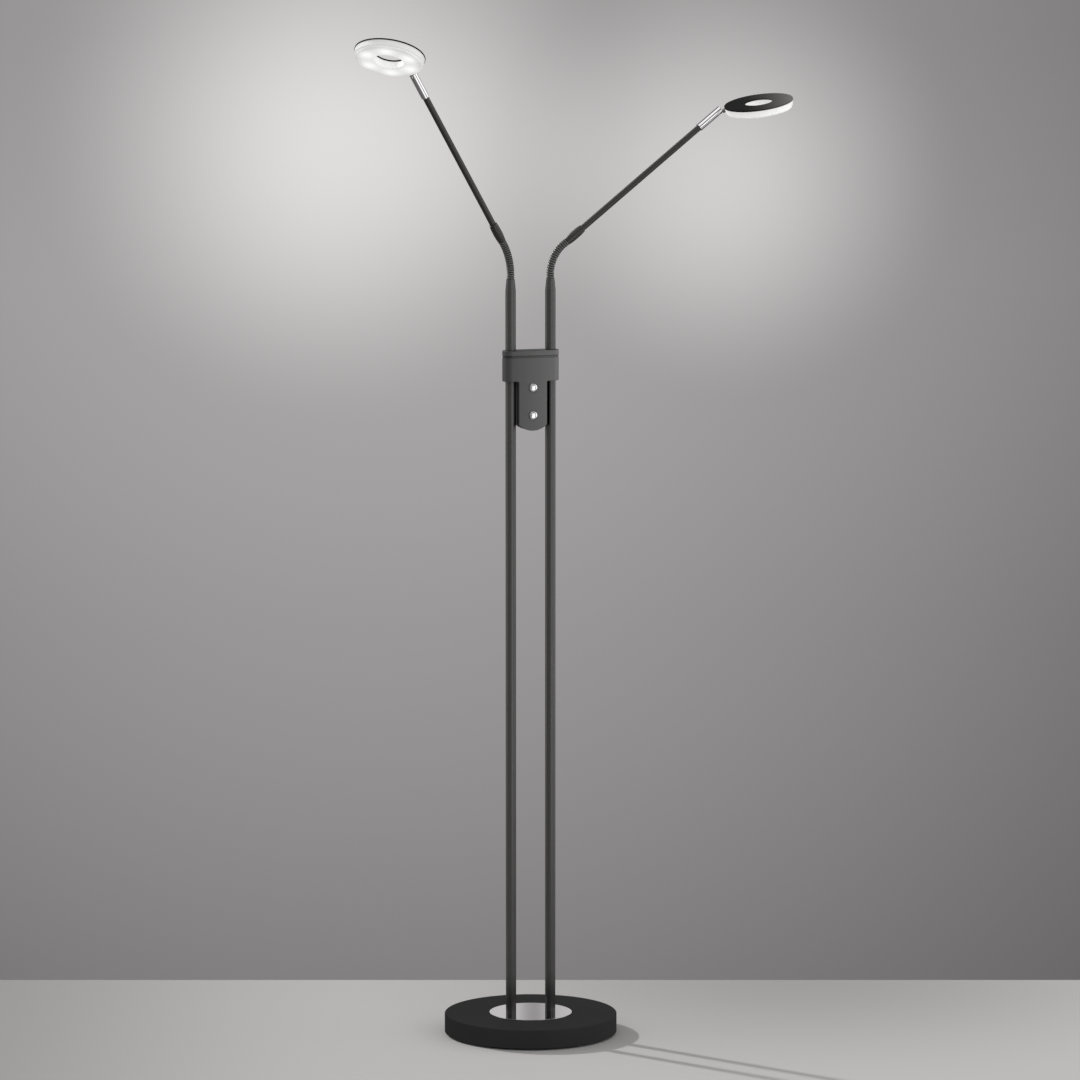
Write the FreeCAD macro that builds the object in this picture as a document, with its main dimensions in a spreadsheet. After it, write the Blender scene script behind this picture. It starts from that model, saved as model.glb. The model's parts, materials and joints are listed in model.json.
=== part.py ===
import FreeCAD, Part
import math
import os
import re
import Sketcher

# Two-arm reading floor lamp: weighted round base, two poles, bracket with two push dimmers,
# two flexible necks and two ring lights on slotted ball joints.
# Millimetres, +Z up, the front of the lamp looks along -Y, origin on the floor at the base centre.

SIZES = [
    # Base
    ("base_radius", 125.0),
    ("base_top", 30.0),
    ("base_rim_round", 1.6),
    ("cover_wall", 2.5),
    ("cover_roof", 2.0),
    ("foot_height", 3.0),
    ("foot_radius", 9.0),
    ("foot_inset", 21.0),
    ("disc_radius", 60.0),
    ("disc_thickness", 2.0),
    ("disc_sunk", 1.2),
    ("disc_bevel", 0.5),
    ("disc_gap", 0.15),
    ("floor_plate", 1.5),
    ("floor_plate_gap", 0.6),
    ("weight_gap", 4.5),
    ("weight_thickness", 14.0),
    ("hub_radius", 50.0),
    ("driver_length", 66.0),
    ("driver_width", 34.0),
    ("driver_height", 15.0),
    ("driver_inset", 58.0),
    ("driver_headroom", 1.8),
    ("driver_gap", 1.0),
    ("driver_round", 2.0),
    ("channel_width", 8.0),
    ("grommet_height", 13.0),
    ("grommet_radius", 4.5),
    ("grommet_flange", 6.5),
    ("grommet_inner", 5.9),
    ("grommet_gap", 0.3),
    ("grommet_lip", 1.8),
    ("cord_bore", 2.8),
    # Screws
    ("plate_screw_inset", 41.0),
    ("screw_radius", 2.0),
    ("screw_head", 3.4),
    ("screw_cone", 1.4),
    ("screw_length", 10.0),
    ("screw_fit", 0.05),
    ("screw_end_gap", 0.5),
    # Poles
    ("pole_spacing", 60.0),
    ("pole_radius", 7.5),
    ("pole_wall", 1.2),
    ("pole_seat", 14.0),
    ("pole_top", 1082.0),
    ("pole_fit", 0.05),
    ("stud_radius", 5.0),
    ("stud_plug", 20.0),
    ("stud_bore", 3.0),
    ("stud_gap", 0.3),
    ("nut_pocket_radius", 11.0),
    ("nut_pocket_depth", 7.0),
    ("washer_radius", 10.0),
    ("washer_thickness", 1.5),
    ("nut_across_flats", 17.0),
    ("nut_height", 5.0),
    # Pole ferrules
    ("cone_collar", 1.2),
    ("cone_height", 17.8),
    ("cone_top_radius", 5.9),
    ("ferrule_spigot", 15.0),
    ("wire_bore", 2.3),
    # Bracket
    ("band_depth", 24.0),
    ("band_height", 44.5),
    ("band_below", 84.5),
    ("cap_height", 7.5),
    ("cap_round", 1.0),
    ("seam_height", 3.3),
    ("seam_depth", 0.5),
    ("tab_gap", 1.5),
    ("tab_drop", 71.0),
    ("tab_sag", 8.5),
    ("tab_round", 1.5),
    ("neck_round", 2.0),
    ("front_wall", 2.5),
    ("tab_wall", 5.0),
    ("cavity_floor", 14.5),
    ("cavity_reach", 11.0),
    ("back_ledge", 1.0),
    ("back_inset", 7.5),
    ("back_lap", 10.5),
    ("back_thickness", 2.0),
    ("back_gap", 0.1),
    ("back_screw_inset", 3.5),
    ("small_screw_radius", 1.4),
    ("small_screw_head", 2.5),
    ("small_screw_cone", 1.2),
    ("small_screw_length", 7.0),
    ("grub_drop", 27.5),
    ("grub_radius", 2.0),
    ("grub_length", 4.0),
    # Buttons and their switches
    ("button_radius", 6.0),
    ("button_hole", 6.6),
    ("button_pitch", 40.0),
    ("button_drop", 9.0),
    ("button_proud", 1.0),
    ("button_crown", 1.5),
    ("button_flange", 7.2),
    ("flange_thickness", 1.0),
    ("flange_gap", 0.2),
    ("plunger_radius", 2.0),
    ("plunger_length", 3.8),
    ("plunger_fit", 0.15),
    ("switch_size", 12.0),
    ("switch_front", 5.5),
    ("switch_depth", 4.5),
    ("switch_bore", 2.6),
    ("board_thickness", 1.6),
    ("board_gap", 0.5),
    ("post_radius", 2.0),
    ("post_inset", 3.5),
    # Flexible necks: straight lengths of three ribs, hinged on small balls
    ("link_length", 10.0),
    ("rib_root", 4.8),
    ("rib_height", 0.8),
    ("rib_half", 0.85),
    ("neck_ball_inset", 0.9),
    ("neck_ball_fit", 0.1),
    ("neck_spigot", 4.5),
    ("spigot_length", 8.0),
    ("spigot_fit", 0.05),
    ("neck_gap", 0.2),
    # Arms
    ("barrel_length", 30.5),
    ("barrel_wall", 1.1),
    ("barrel_swell", 1.0),
    ("tube_radius", 4.5),
    ("tube_wall", 1.0),
    ("tube_length", 229.0),
    ("tube_low", 10.0),
    ("tube_fit", 0.02),
    # Slotted sleeves and ball joints
    ("sleeve_length", 42.0),
    ("sleeve_wall", 1.25),
    ("sleeve_chamfer", 0.4),
    ("sleeve_overlap", 13.0),
    ("sleeve_fit", 0.08),
    ("ball_setback", 5.0),
    ("ball_radius", 4.2),
    ("ball_fit", 0.06),
    ("mouth_radius", 3.3),
    ("slot_half", 2.2),
    ("seat_gap", 0.5),
    ("seat_below", 1.5),
    ("pin_radius", 1.5),
    ("pin_fit", 0.06),
    ("rivet_radius", 2.3),
    ("rivet_low", 3.4),
    ("rivet_high", 2.65),
    ("rivet_pocket", 2.5),
    ("stem_radius", 2.0),
    ("stem_start", 4.3),
    ("collar_radius", 3.2),
    ("collar_start", 8.0),
    ("collar_end", 10.0),
    ("thread_radius", 2.4),
    ("thread_end", 20.0),
    ("thread_fit", 0.05),
    ("thread_end_gap", 0.3),
    ("stem_bore", 0.8),
    # Ring lights
    ("head_radius", 50.0),
    ("head_hole", 20.0),
    ("stem_length", 10.3),
    ("head_half", 6.5),
    ("plate_thickness", 2.0),
    ("plate_edge", 0.3),
    ("glass_inset", 0.6),
    ("glass_draft", 0.8),
    ("glass_step", 1.2),
    ("glass_step_height", 4.0),
    ("glass_round", 2.2),
    ("glass_wall", 1.6),
    ("glass_floor", 2.2),
    ("glass_hole_inset", 0.8),
    ("tray_thickness", 1.5),
    ("tray_gap", 0.4),
    ("boss_inset", 3.0),
    ("boss_length", 8.0),
    ("boss_width", 10.0),
    ("boss_depth", 7.5),
    ("led_board", 1.6),
    ("led_inset", 7.0),
    ("led_chip", 3.6),
    ("led_height", 0.7),
    # Pose in which the lamp stands, in degrees
    ("left_swing", 207.5),
    ("left_bend", 36.0),
    ("left_slot", 10.2),
    ("left_tilt", 27.5),
    ("left_roll", 3.3),
    ("right_swing", 2.9),
    ("right_bend", 52.2),
    ("right_slot", -42.8),
    ("right_tilt", 37.9),
    ("right_roll", 43.0),
]
# Sizes that follow from those above
FOLLOWING = {
    "foot_circle": "base_radius-foot_inset",
    "weight_radius": "base_radius-cover_wall-weight_gap",
    "plate_screw_circle": "base_radius-plate_screw_inset",
    "plate_top": "foot_height+floor_plate",
    "weight_top": "plate_top+weight_thickness",
    "disc_bottom": "base_top-disc_sunk",
    "roof_under": "disc_bottom-cover_roof",
    "driver_back": "base_radius-driver_inset",
    "driver_floor": "roof_under-driver_headroom-driver_height",
    "pole_bore": "pole_radius-pole_wall",
    "neck_foot": "pole_top+cone_height",
    "band_width": "pole_spacing+band_depth",
    "band_top": "pole_top-band_below",
    "band_bottom": "band_top-band_height",
    "tab_width": "pole_spacing-2*pole_radius-2*tab_gap",
    "tab_bottom": "band_bottom-tab_drop",
    "tab_corner": "tab_bottom+tab_sag",
    "cavity_width": "tab_width-2*tab_wall",
    "cavity_bottom": "tab_bottom+cavity_floor",
    "cavity_top": "band_bottom+cavity_reach",
    "back_width": "cavity_width+2*back_ledge",
    "back_bottom": "tab_bottom+back_inset",
    "back_top": "cavity_top+back_lap",
    "back_screw_low": "back_bottom+back_screw_inset",
    "back_screw_high": "back_top-back_screw_inset",
    "grub_height": "band_top-grub_drop",
    "button_high": "band_bottom-button_drop",
    "button_low": "button_high-button_pitch",
    "board_width": "cavity_width-2*board_gap",
    "board_bottom": "cavity_bottom+board_gap",
    "board_top": "cavity_top-board_gap",
    "rib_crest": "rib_root+rib_height",
    "neck_ball": "rib_root-neck_ball_inset",
    "barrel_end": "tube_radius+barrel_wall",
    "barrel_middle": "barrel_end+barrel_swell",
    "sleeve_radius": "tube_radius+sleeve_wall",
    "head_reach": "head_radius+stem_length",
    "led_outer": "head_radius-led_inset",
    "led_inner": "head_hole+led_inset",
}
FOOT_COUNT = 5
PLATE_SCREWS = 3
LINKS = 6
RIBS_PER_LINK = 3
LED_CHIPS = 12
FUNCTIONS = ("sqrt",)
# How far the middle of a quarter arc lies in from its corner, as a share of the radius
ARC_SAG = "%.6f" % (1 - math.cos(math.pi / 4))
TOLERANCE = 0.01

doc = FreeCAD.newDocument("reading_lamp")
sheet = doc.addObject("Spreadsheet::Sheet", "Size")
for row, (alias, value) in enumerate(SIZES, start=1):
    sheet.set("A%d" % row, alias)
    sheet.set("B%d" % row, str(value))
    sheet.setAlias("B%d" % row, alias)
doc.recompute()
nodes = {}


def spelled(text, prefix=""):
    """The expression with following sizes written out and a prefix before every name in the sheet."""
    def spell(match):
        word = match.group(0)
        if word in FOLLOWING:
            return "(" + spelled(FOLLOWING[word], prefix) + ")"
        return word if word in FUNCTIONS else prefix + word
    return re.sub(r"[a-z][a-z_]*[a-z0-9]", spell, text)


def linked(text):
    return spelled(text, "Size.")


def size(text):
    return float(sheet.evalExpression(spelled(text)))


def keep(label, shape_object):
    shape_object.Label = label
    nodes[label] = shape_object
    return shape_object


def origin_plane(body, role):
    return [item for item in body.Origin.OriginFeatures if item.Role == role][0]


def pin_point(sketch, geometry, end, across, up):
    """Ties one point of the sketch to two expressions, measured from the sketch's origin."""
    for kind, text in (("DistanceX", across), ("DistanceY", up)):
        index = sketch.addConstraint(Sketcher.Constraint(kind, -1, 1, geometry, end, size(text)))
        if not re.fullmatch(r"[-0-9.]+", text):
            sketch.setExpression("Constraints[%d]" % index, linked(text))


def draw_outline(sketch, outline):
    """A closed outline of (across, up) corners; (across, up, mid_across, mid_up) ends an arc."""
    spots = [FreeCAD.Vector(size(item[0]), size(item[1]), 0) for item in outline]
    ends = []
    for index, item in enumerate(outline):
        start = spots[index - 1]
        if len(item) == 4:
            middle = FreeCAD.Vector(size(item[2]), size(item[3]), 0)
            edge = sketch.addGeometry(Part.Arc(start, middle, spots[index]), False)
            through = sketch.addGeometry(Part.Point(middle), True)
            pin_point(sketch, through, 1, item[2], item[3])
            sketch.addConstraint(Sketcher.Constraint("PointOnObject", through, 1, edge))
        else:
            edge = sketch.addGeometry(Part.LineSegment(start, spots[index]), False)
        first = 1 if sketch.getPoint(edge, 1).distanceToPoint(start) < 1e-6 else 2
        ends.append((edge, first, 3 - first))
    for index, item in enumerate(outline):
        edge, _, last = ends[index]
        after, first, _ = ends[(index + 1) % len(outline)]
        sketch.addConstraint(Sketcher.Constraint("Coincident", edge, last, after, first))
        pin_point(sketch, edge, last, item[0], item[1])


def start_body(label, role, outline):
    body = doc.addObject("PartDesign::Body", label)
    sketch = body.newObject("Sketcher::SketchObject", label + "_outline")
    sketch.AttachmentSupport = [(origin_plane(body, role), "")]
    sketch.MapMode = "FlatFace"
    draw_outline(sketch, outline)
    return body, sketch


def turned(label, outline):
    """A body turned about Z from (radius, height) corners."""
    body, sketch = start_body(label, "XZ_Plane", outline)
    feature = body.newObject("PartDesign::Revolution", label + "_turn")
    feature.Profile = sketch
    feature.ReferenceAxis = (sketch, ["V_Axis"])
    feature.Angle = 360.0
    return body


def padded(label, outline, depth):
    """A body of an outline in the XZ plane, as deep to the front as to the back."""
    body, sketch = start_body(label, "XZ_Plane", outline)
    feature = body.newObject("PartDesign::Pad", label + "_pad")
    feature.Profile = sketch
    feature.Midplane = True
    feature.setExpression("Length", linked(depth))
    return body


def rod(label, radius, length, base=("0", "0", "0"), along="z"):
    """A cylinder that starts at base and runs along +X, +Y, -Y or +Z."""
    item = doc.addObject("Part::Cylinder", label)
    item.setExpression("Radius", linked(radius))
    item.setExpression("Height", linked(length))
    turns = {
        "z": FreeCAD.Rotation(),
        "x": FreeCAD.Rotation(FreeCAD.Vector(0, 1, 0), 90),
        "y": FreeCAD.Rotation(FreeCAD.Vector(1, 0, 0), -90),
        "-y": FreeCAD.Rotation(FreeCAD.Vector(1, 0, 0), 90),
    }
    item.Placement = FreeCAD.Placement(FreeCAD.Vector(), turns[along])
    settle(item, base)
    return item


def block(label, lengths, base):
    item = doc.addObject("Part::Box", label)
    for name, text in zip(("Length", "Width", "Height"), lengths):
        item.setExpression(name, linked(text))
    settle(item, base)
    return item


def ball(label, radius, height):
    item = doc.addObject("Part::Sphere", label)
    item.setExpression("Radius", linked(radius))
    settle(item, ("0", "0", height))
    return item


def settle(item, base):
    for axis, text in zip("xyz", base):
        item.setExpression("Placement.Base." + axis, linked(text))


def cut(label, base, *tools):
    item = doc.addObject("Part::Cut", label)
    item.Base = base
    item.Tool = tools[0] if len(tools) == 1 else fuse(label + "_tools", *tools)
    return item


def fuse(label, *pieces):
    item = doc.addObject("Part::MultiFuse", label)
    item.Shapes = list(pieces)
    return item


def common(label, first, second):
    item = doc.addObject("Part::MultiCommon", label)
    item.Shapes = [first, second]
    return item


def group(label, pieces):
    item = doc.addObject("Part::Compound", label)
    item.Links = pieces
    return item


def rounded(label, base, radius, chosen):
    """Fillets the edges of base that the test chooses."""
    doc.recompute()
    item = doc.addObject("Part::Fillet", label)
    item.Base = base
    edges = []
    for number, edge in enumerate(base.Shape.Edges, start=1):
        if chosen(edge):
            edges.append((number, size(radius), size(radius)))
    item.Edges = edges
    return item


def around(label, count, circle, make, first=0.25):
    """Copies of a piece on a circle about Z, the first one a share of a step round."""
    pieces = []
    for index in range(count):
        angle = 2 * math.pi * (index + first) / count
        x = "%s*%.6f" % (circle, math.cos(angle))
        y = "%s*%.6f" % (circle, math.sin(angle))
        pieces.append(make("%s_%d" % (label, index + 1), x, y))
    return pieces


def pole_x(side):
    return "pole_spacing/2" if side == "right" else "-pole_spacing/2"


# Base
def base_cover():
    shell = turned("cover_shell", [
        ("base_radius", "foot_height"),
        ("base_radius", "base_top-base_rim_round"),
        ("base_radius-" + ARC_SAG + "*base_rim_round", "base_top-" + ARC_SAG + "*base_rim_round"),
        ("base_radius-base_rim_round", "base_top"),
        ("disc_radius+disc_gap", "base_top"),
        ("disc_radius+disc_gap", "disc_bottom"),
        ("0", "disc_bottom"),
        ("0", "roof_under"),
        ("base_radius-cover_wall", "roof_under"),
        ("base_radius-cover_wall", "foot_height"),
    ])
    holes = [rod("cover_hole_" + side, "pole_radius+pole_fit", "base_top", (pole_x(side), "0", "0"))
             for side in ("left", "right")]
    inlet = rod("cover_inlet", "grommet_radius+screw_fit", "3*cover_wall",
                ("0", "base_radius-2*cover_wall", "grommet_height"), "y")
    keep("base_cover", cut("cover_cut", shell, inlet, *holes))


def base_disc():
    plate = turned("disc_blank", [
        ("0", "disc_bottom"),
        ("disc_radius", "disc_bottom"),
        ("disc_radius", "disc_bottom+disc_thickness-disc_bevel"),
        ("disc_radius-disc_bevel", "disc_bottom+disc_thickness"),
        ("0", "disc_bottom+disc_thickness"),
    ])
    holes = [rod("disc_hole_" + side, "pole_radius+pole_fit", "2*base_top", (pole_x(side), "0", "0"))
             for side in ("left", "right")]
    keep("base_disc", cut("disc_cut", plate, *holes))


def plate_screw_cutter(name, x, y):
    return rod(name, "screw_radius+screw_fit", "screw_length+2*screw_fit", (x, y, "foot_height"))


def base_weight():
    blank = turned("weight_blank", [
        ("0", "plate_top"),
        ("weight_radius", "plate_top"),
        ("weight_radius", "weight_top"),
        ("hub_radius", "weight_top"),
        ("hub_radius", "roof_under"),
        ("0", "roof_under"),
    ])
    tools = []
    for side in ("left", "right"):
        x = pole_x(side)
        tools.append(rod("weight_socket_" + side, "pole_radius+pole_fit", "base_top",
                         (x, "0", "pole_seat")))
        tools.append(rod("weight_bore_" + side, "stud_radius+stud_gap", "base_top", (x, "0", "0")))
        tools.append(rod("weight_pocket_" + side, "nut_pocket_radius", "floor_plate+nut_pocket_depth",
                         (x, "0", "foot_height")))
    tools.append(block("driver_pocket",
                       ("driver_length+2*driver_gap", "driver_width+2*driver_gap", "base_top"),
                       ("-driver_length/2-driver_gap", "driver_back-driver_gap", "driver_floor")))
    tools.append(block("cord_channel", ("channel_width", "weight_radius", "base_top"),
                       ("-channel_width/2", "driver_back", "driver_floor")))
    tools += around("weight_screw_hole", PLATE_SCREWS, "plate_screw_circle", plate_screw_cutter)
    keep("base_weight", cut("weight_cut", blank, *tools))


def countersunk(name, x, y):
    """A countersunk screw or its hole, head down at the foot of the floor plate."""
    head = doc.addObject("Part::Cone", name + "_head")
    head.setExpression("Radius1", linked("screw_head"))
    head.setExpression("Radius2", linked("screw_radius"))
    head.setExpression("Height", linked("screw_cone"))
    settle(head, (x, y, "foot_height"))
    shank = rod(name + "_shank", "screw_radius", "screw_length", (x, y, "foot_height"))
    return fuse(name, head, shank)


def base_plate():
    blank = rod("plate_blank", "base_radius-cover_wall-floor_plate_gap", "floor_plate",
                ("0", "0", "foot_height"))
    holes = around("plate_hole", PLATE_SCREWS, "plate_screw_circle", countersunk)
    keep("base_plate", cut("plate_cut", blank, *holes))
    keep("plate_screws", group("plate_screw_group",
                               around("plate_screw", PLATE_SCREWS, "plate_screw_circle", countersunk)))


def base_feet():
    """A ring of pads near the rim and one at the centre, under the weight."""
    def foot(name, x, y):
        return rod(name, "foot_radius", "foot_height", (x, y, "0"))
    ring = around("foot", FOOT_COUNT, "foot_circle", foot)
    keep("base_feet", group("foot_group", ring + [foot("foot_centre", "0", "0")]))


def led_driver():
    box = block("driver_box", ("driver_length", "driver_width", "driver_height"),
                ("-driver_length/2", "driver_back", "driver_floor"))

    def upright(edge):
        return edge.BoundBox.ZLength > TOLERANCE
    keep("led_driver", rounded("driver_rounded", box, "driver_round", upright))


def cable_grommet():
    bush = turned("grommet_bush", [
        ("cord_bore", "0"),
        ("grommet_inner", "0"),
        ("grommet_inner", "grommet_lip"),
        ("grommet_radius", "grommet_lip"),
        ("grommet_radius", "grommet_lip+cover_wall+grommet_gap"),
        ("grommet_flange", "grommet_lip+cover_wall+grommet_gap"),
        ("grommet_radius", "2*grommet_lip+cover_wall+grommet_gap"),
        ("cord_bore", "2*grommet_lip+cover_wall+grommet_gap"),
    ])
    bush.Placement = FreeCAD.Placement(
        FreeCAD.Vector(0, size("base_radius-cover_wall-grommet_gap-grommet_lip"), size("grommet_height")),
        FreeCAD.Rotation(FreeCAD.Vector(1, 0, 0), -90))
    keep("cable_grommet", bush)


# Poles and their fixings
def poles():
    studs = []
    nuts = []
    washers = []
    pocket_roof = "plate_top+nut_pocket_depth"
    nut_foot = pocket_roof + "-washer_thickness-nut_height"
    for side in ("left", "right"):
        x = pole_x(side)
        tube = rod("pole_blank_" + side, "pole_radius", "pole_top-pole_seat", (x, "0", "pole_seat"))
        bore = rod("pole_bore_" + side, "pole_bore", "pole_top", (x, "0", "0"))
        keep("pole_" + side, cut("pole_cut_" + side, tube, bore))
        plug = rod("stud_plug_" + side, "pole_bore", "stud_plug", (x, "0", "pole_seat"))
        tail = rod("stud_tail_" + side, "stud_radius", "pole_seat-(%s)" % nut_foot, (x, "0", nut_foot))
        stud_hole = rod("stud_hole_" + side, "stud_bore", "base_top+stud_plug", (x, "0", "0"))
        studs.append(cut("stud_" + side, fuse("stud_blank_" + side, plug, tail), stud_hole))
        washer = rod("washer_blank_" + side, "washer_radius", "washer_thickness",
                     (x, "0", pocket_roof + "-washer_thickness"))
        washer_hole = rod("washer_hole_" + side, "stud_radius+stud_gap", "base_top", (x, "0", "0"))
        washers.append(cut("washer_" + side, washer, washer_hole))
        hexagon = doc.addObject("Part::Prism", "nut_blank_" + side)
        hexagon.Polygon = 6
        hexagon.setExpression("Circumradius", linked("nut_across_flats/sqrt(3)"))
        hexagon.setExpression("Height", linked("nut_height"))
        settle(hexagon, (x, "0", nut_foot))
        nut_hole = rod("nut_hole_" + side, "stud_radius", "base_top", (x, "0", "0"))
        nuts.append(cut("nut_" + side, hexagon, nut_hole))
    keep("pole_studs", group("stud_group", studs))
    keep("pole_nuts", group("nut_group", nuts))
    keep("pole_washers", group("washer_group", washers))


def pole_ferrule(side):
    piece = turned("pole_ferrule_body_" + side, [
        ("wire_bore", "pole_top-ferrule_spigot"),
        ("pole_bore", "pole_top-ferrule_spigot"),
        ("pole_bore", "pole_top"),
        ("pole_radius", "pole_top"),
        ("pole_radius", "pole_top+cone_collar"),
        ("cone_top_radius", "neck_foot"),
        ("neck_spigot+spigot_fit", "neck_foot"),
        ("neck_spigot+spigot_fit", "neck_foot-spigot_length-neck_gap"),
        ("wire_bore", "neck_foot-spigot_length-neck_gap"),
    ])
    piece.Placement.Base = FreeCAD.Vector(size(pole_x(side)), 0, 0)
    keep("pole_ferrule_" + side, piece)


# Bracket
def stadium(label, inset, low, high):
    """An upright slab with round ends about the poles, inset from the band's outline."""
    radius = "band_depth/2-" + inset
    reach = "pole_spacing/2"
    tall = "%s-(%s)" % (high, low)
    ends = [rod("%s_end_%s" % (label, side), radius, tall, (sign + "(" + reach + ")", "0", low))
            for side, sign in (("left", "-"), ("right", ""))]
    middle = block(label + "_middle", ("2*(%s)" % reach, "2*(%s)" % radius, tall),
                   ("-(%s)" % reach, "-(%s)" % radius, low))
    return fuse(label, middle, *ends)


def pole_holes(label):
    return [rod(label + "_hole_" + side, "pole_radius+pole_fit", "band_top", (pole_x(side), "0", "0"))
            for side in ("left", "right")]


def back_screws(label, extra, length):
    """The two countersunk screws of the back cover, or their holes when extra is a clearance."""
    pieces = []
    for spot in ("low", "high"):
        height = "back_screw_" + spot
        name = "%s_%s" % (label, spot)
        head = doc.addObject("Part::Cone", name + "_head")
        head.setExpression("Radius1", linked("small_screw_radius+" + extra))
        head.setExpression("Radius2", linked("small_screw_head+" + extra))
        head.setExpression("Height", linked("small_screw_cone"))
        head.Placement = FreeCAD.Placement(FreeCAD.Vector(), FreeCAD.Rotation(FreeCAD.Vector(1, 0, 0), -90))
        settle(head, ("0", "band_depth/2-small_screw_cone", height))
        shank = rod(name + "_shank", "small_screw_radius+" + extra, length,
                    ("0", "band_depth/2", height), "-y")
        pieces.append(fuse(name, head, shank))
    return pieces


def bracket_housing():
    seam = "band_top-cap_height-seam_height"
    outline = [
        ("-band_width/2", seam),
        ("-band_width/2", "band_bottom"),
        ("-tab_width/2-neck_round", "band_bottom"),
        ("-tab_width/2", "band_bottom-neck_round",
         "-tab_width/2-" + ARC_SAG + "*neck_round", "band_bottom-" + ARC_SAG + "*neck_round"),
        ("-tab_width/2", "tab_corner"),
        ("tab_width/2", "tab_corner", "0", "tab_bottom"),
        ("tab_width/2", "band_bottom-neck_round"),
        ("tab_width/2+neck_round", "band_bottom",
         "tab_width/2+" + ARC_SAG + "*neck_round", "band_bottom-" + ARC_SAG + "*neck_round"),
        ("band_width/2", "band_bottom"),
        ("band_width/2", seam),
    ]
    front = padded("bracket_front_view", outline, "band_depth")
    blank = common("bracket_blank", front, stadium("bracket_plan", "0", "tab_bottom", seam))
    half = size("tab_width/2")
    face = size("band_depth/2")
    low = size("band_bottom-neck_round")

    def tab_edge(edge):
        """The side edges and the curved lower edge of the tab, in front and behind."""
        box = edge.BoundBox
        on_face = box.YLength < TOLERANCE and abs(abs(box.YMin) - face) < TOLERANCE
        upright = box.XLength < TOLERANCE and abs(abs(box.XMin) - half) < TOLERANCE
        lower = box.ZMax < size("tab_corner") + TOLERANCE
        return on_face and (upright or lower) and box.ZMax < low + TOLERANCE
    soft = rounded("bracket_soft", blank, "tab_round", tab_edge)
    front_face = "-band_depth/2"
    tools = pole_holes("housing")
    tools.append(block("bracket_cavity",
                       ("cavity_width", "band_depth-front_wall", "cavity_top-cavity_bottom"),
                       ("-cavity_width/2", front_face + "+front_wall", "cavity_bottom")))
    tools.append(block("bracket_recess", ("back_width", "back_thickness", "back_top-back_bottom"),
                       ("-back_width/2", "band_depth/2-back_thickness", "back_bottom")))
    for spot in ("low", "high"):
        tools.append(rod("button_hole_" + spot, "button_hole", "2*front_wall",
                         ("0", front_face + "-front_wall/2", "button_" + spot), "y"))
    tools += back_screws("housing_screw_hole", "screw_fit", "small_screw_length+screw_end_gap")
    for side in ("left", "right"):
        tools.append(rod("grub_hole_" + side, "grub_radius", "band_depth",
                         (pole_x(side), "0", "grub_height"), "y"))
    keep("bracket_housing", cut("housing_cut", soft, *tools))


def bracket_cap():
    seam = "band_top-cap_height"
    top = stadium("cap_top", "0", seam, "band_top")
    height = size("band_top")

    def top_edge(edge):
        return edge.BoundBox.ZMin > height - TOLERANCE
    crown = rounded("cap_crown", refined("cap_top_smooth", top), "cap_round", top_edge)
    neck = stadium("cap_neck", "seam_depth", seam + "-seam_height", seam)
    keep("bracket_cap", cut("cap_cut", fuse("cap_blank", crown, neck), *pole_holes("cap")))


def refined(label, base):
    item = doc.addObject("Part::Refine", label)
    item.Source = base
    return item


def bracket_back():
    plate = block("back_plate",
                  ("back_width-2*back_gap", "back_thickness", "back_top-back_bottom-2*back_gap"),
                  ("-back_width/2+back_gap", "band_depth/2-back_thickness", "back_bottom+back_gap"))
    board_back = "-switch_front+switch_depth+board_thickness"
    posts = []
    for number, (across, up) in enumerate((("-", "board_bottom+post_inset"), ("", "board_bottom+post_inset"),
                                           ("-", "board_top-post_inset"), ("", "board_top-post_inset"))):
        posts.append(rod("back_post_%d" % number, "post_radius",
                         "band_depth/2-back_thickness-(%s)" % board_back,
                         (across + "(board_width/2-post_inset)", board_back, up), "y"))
    keep("bracket_back", cut("back_cut", fuse("back_blank", plate, *posts),
                             *back_screws("back_screw_hole", "0", "small_screw_length")))
    keep("bracket_screws", group("back_screw_group", back_screws("back_screw", "0", "small_screw_length")))
    grubs = []
    for side in ("left", "right"):
        grub = rod("grub_" + side, "grub_radius", "grub_length",
                   (pole_x(side), "pole_radius", "grub_height"), "y")
        key = doc.addObject("Part::Prism", "grub_key_" + side)
        key.Polygon = 6
        key.setExpression("Circumradius", linked("grub_radius/2"))
        key.setExpression("Height", linked("grub_length"))
        key.Placement = FreeCAD.Placement(FreeCAD.Vector(), FreeCAD.Rotation(FreeCAD.Vector(1, 0, 0), -90))
        settle(key, (pole_x(side), "pole_radius+grub_length/2", "grub_height"))
        grubs.append(cut("grub_cut_" + side, grub, key))
    keep("pole_grub_screws", group("grub_group", grubs))


def dimmer():
    board_front = "-switch_front+switch_depth"
    keep("dimmer_board", block("board_blank", ("board_width", "board_thickness", "board_top-board_bottom"),
                               ("-board_width/2", board_front, "board_bottom")))
    switches = []
    for spot in ("low", "high"):
        height = "button_" + spot
        body = block("switch_body_" + spot, ("switch_size", "switch_depth", "switch_size"),
                     ("-switch_size/2", "-switch_front", height + "-switch_size/2"))
        bore = rod("switch_bore_" + spot, "plunger_radius+plunger_fit", "switch_bore",
                   ("0", "-switch_front", height), "y")
        switches.append(cut("switch_" + spot, body, bore))
    keep("push_switches", group("switch_group", switches))


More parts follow.
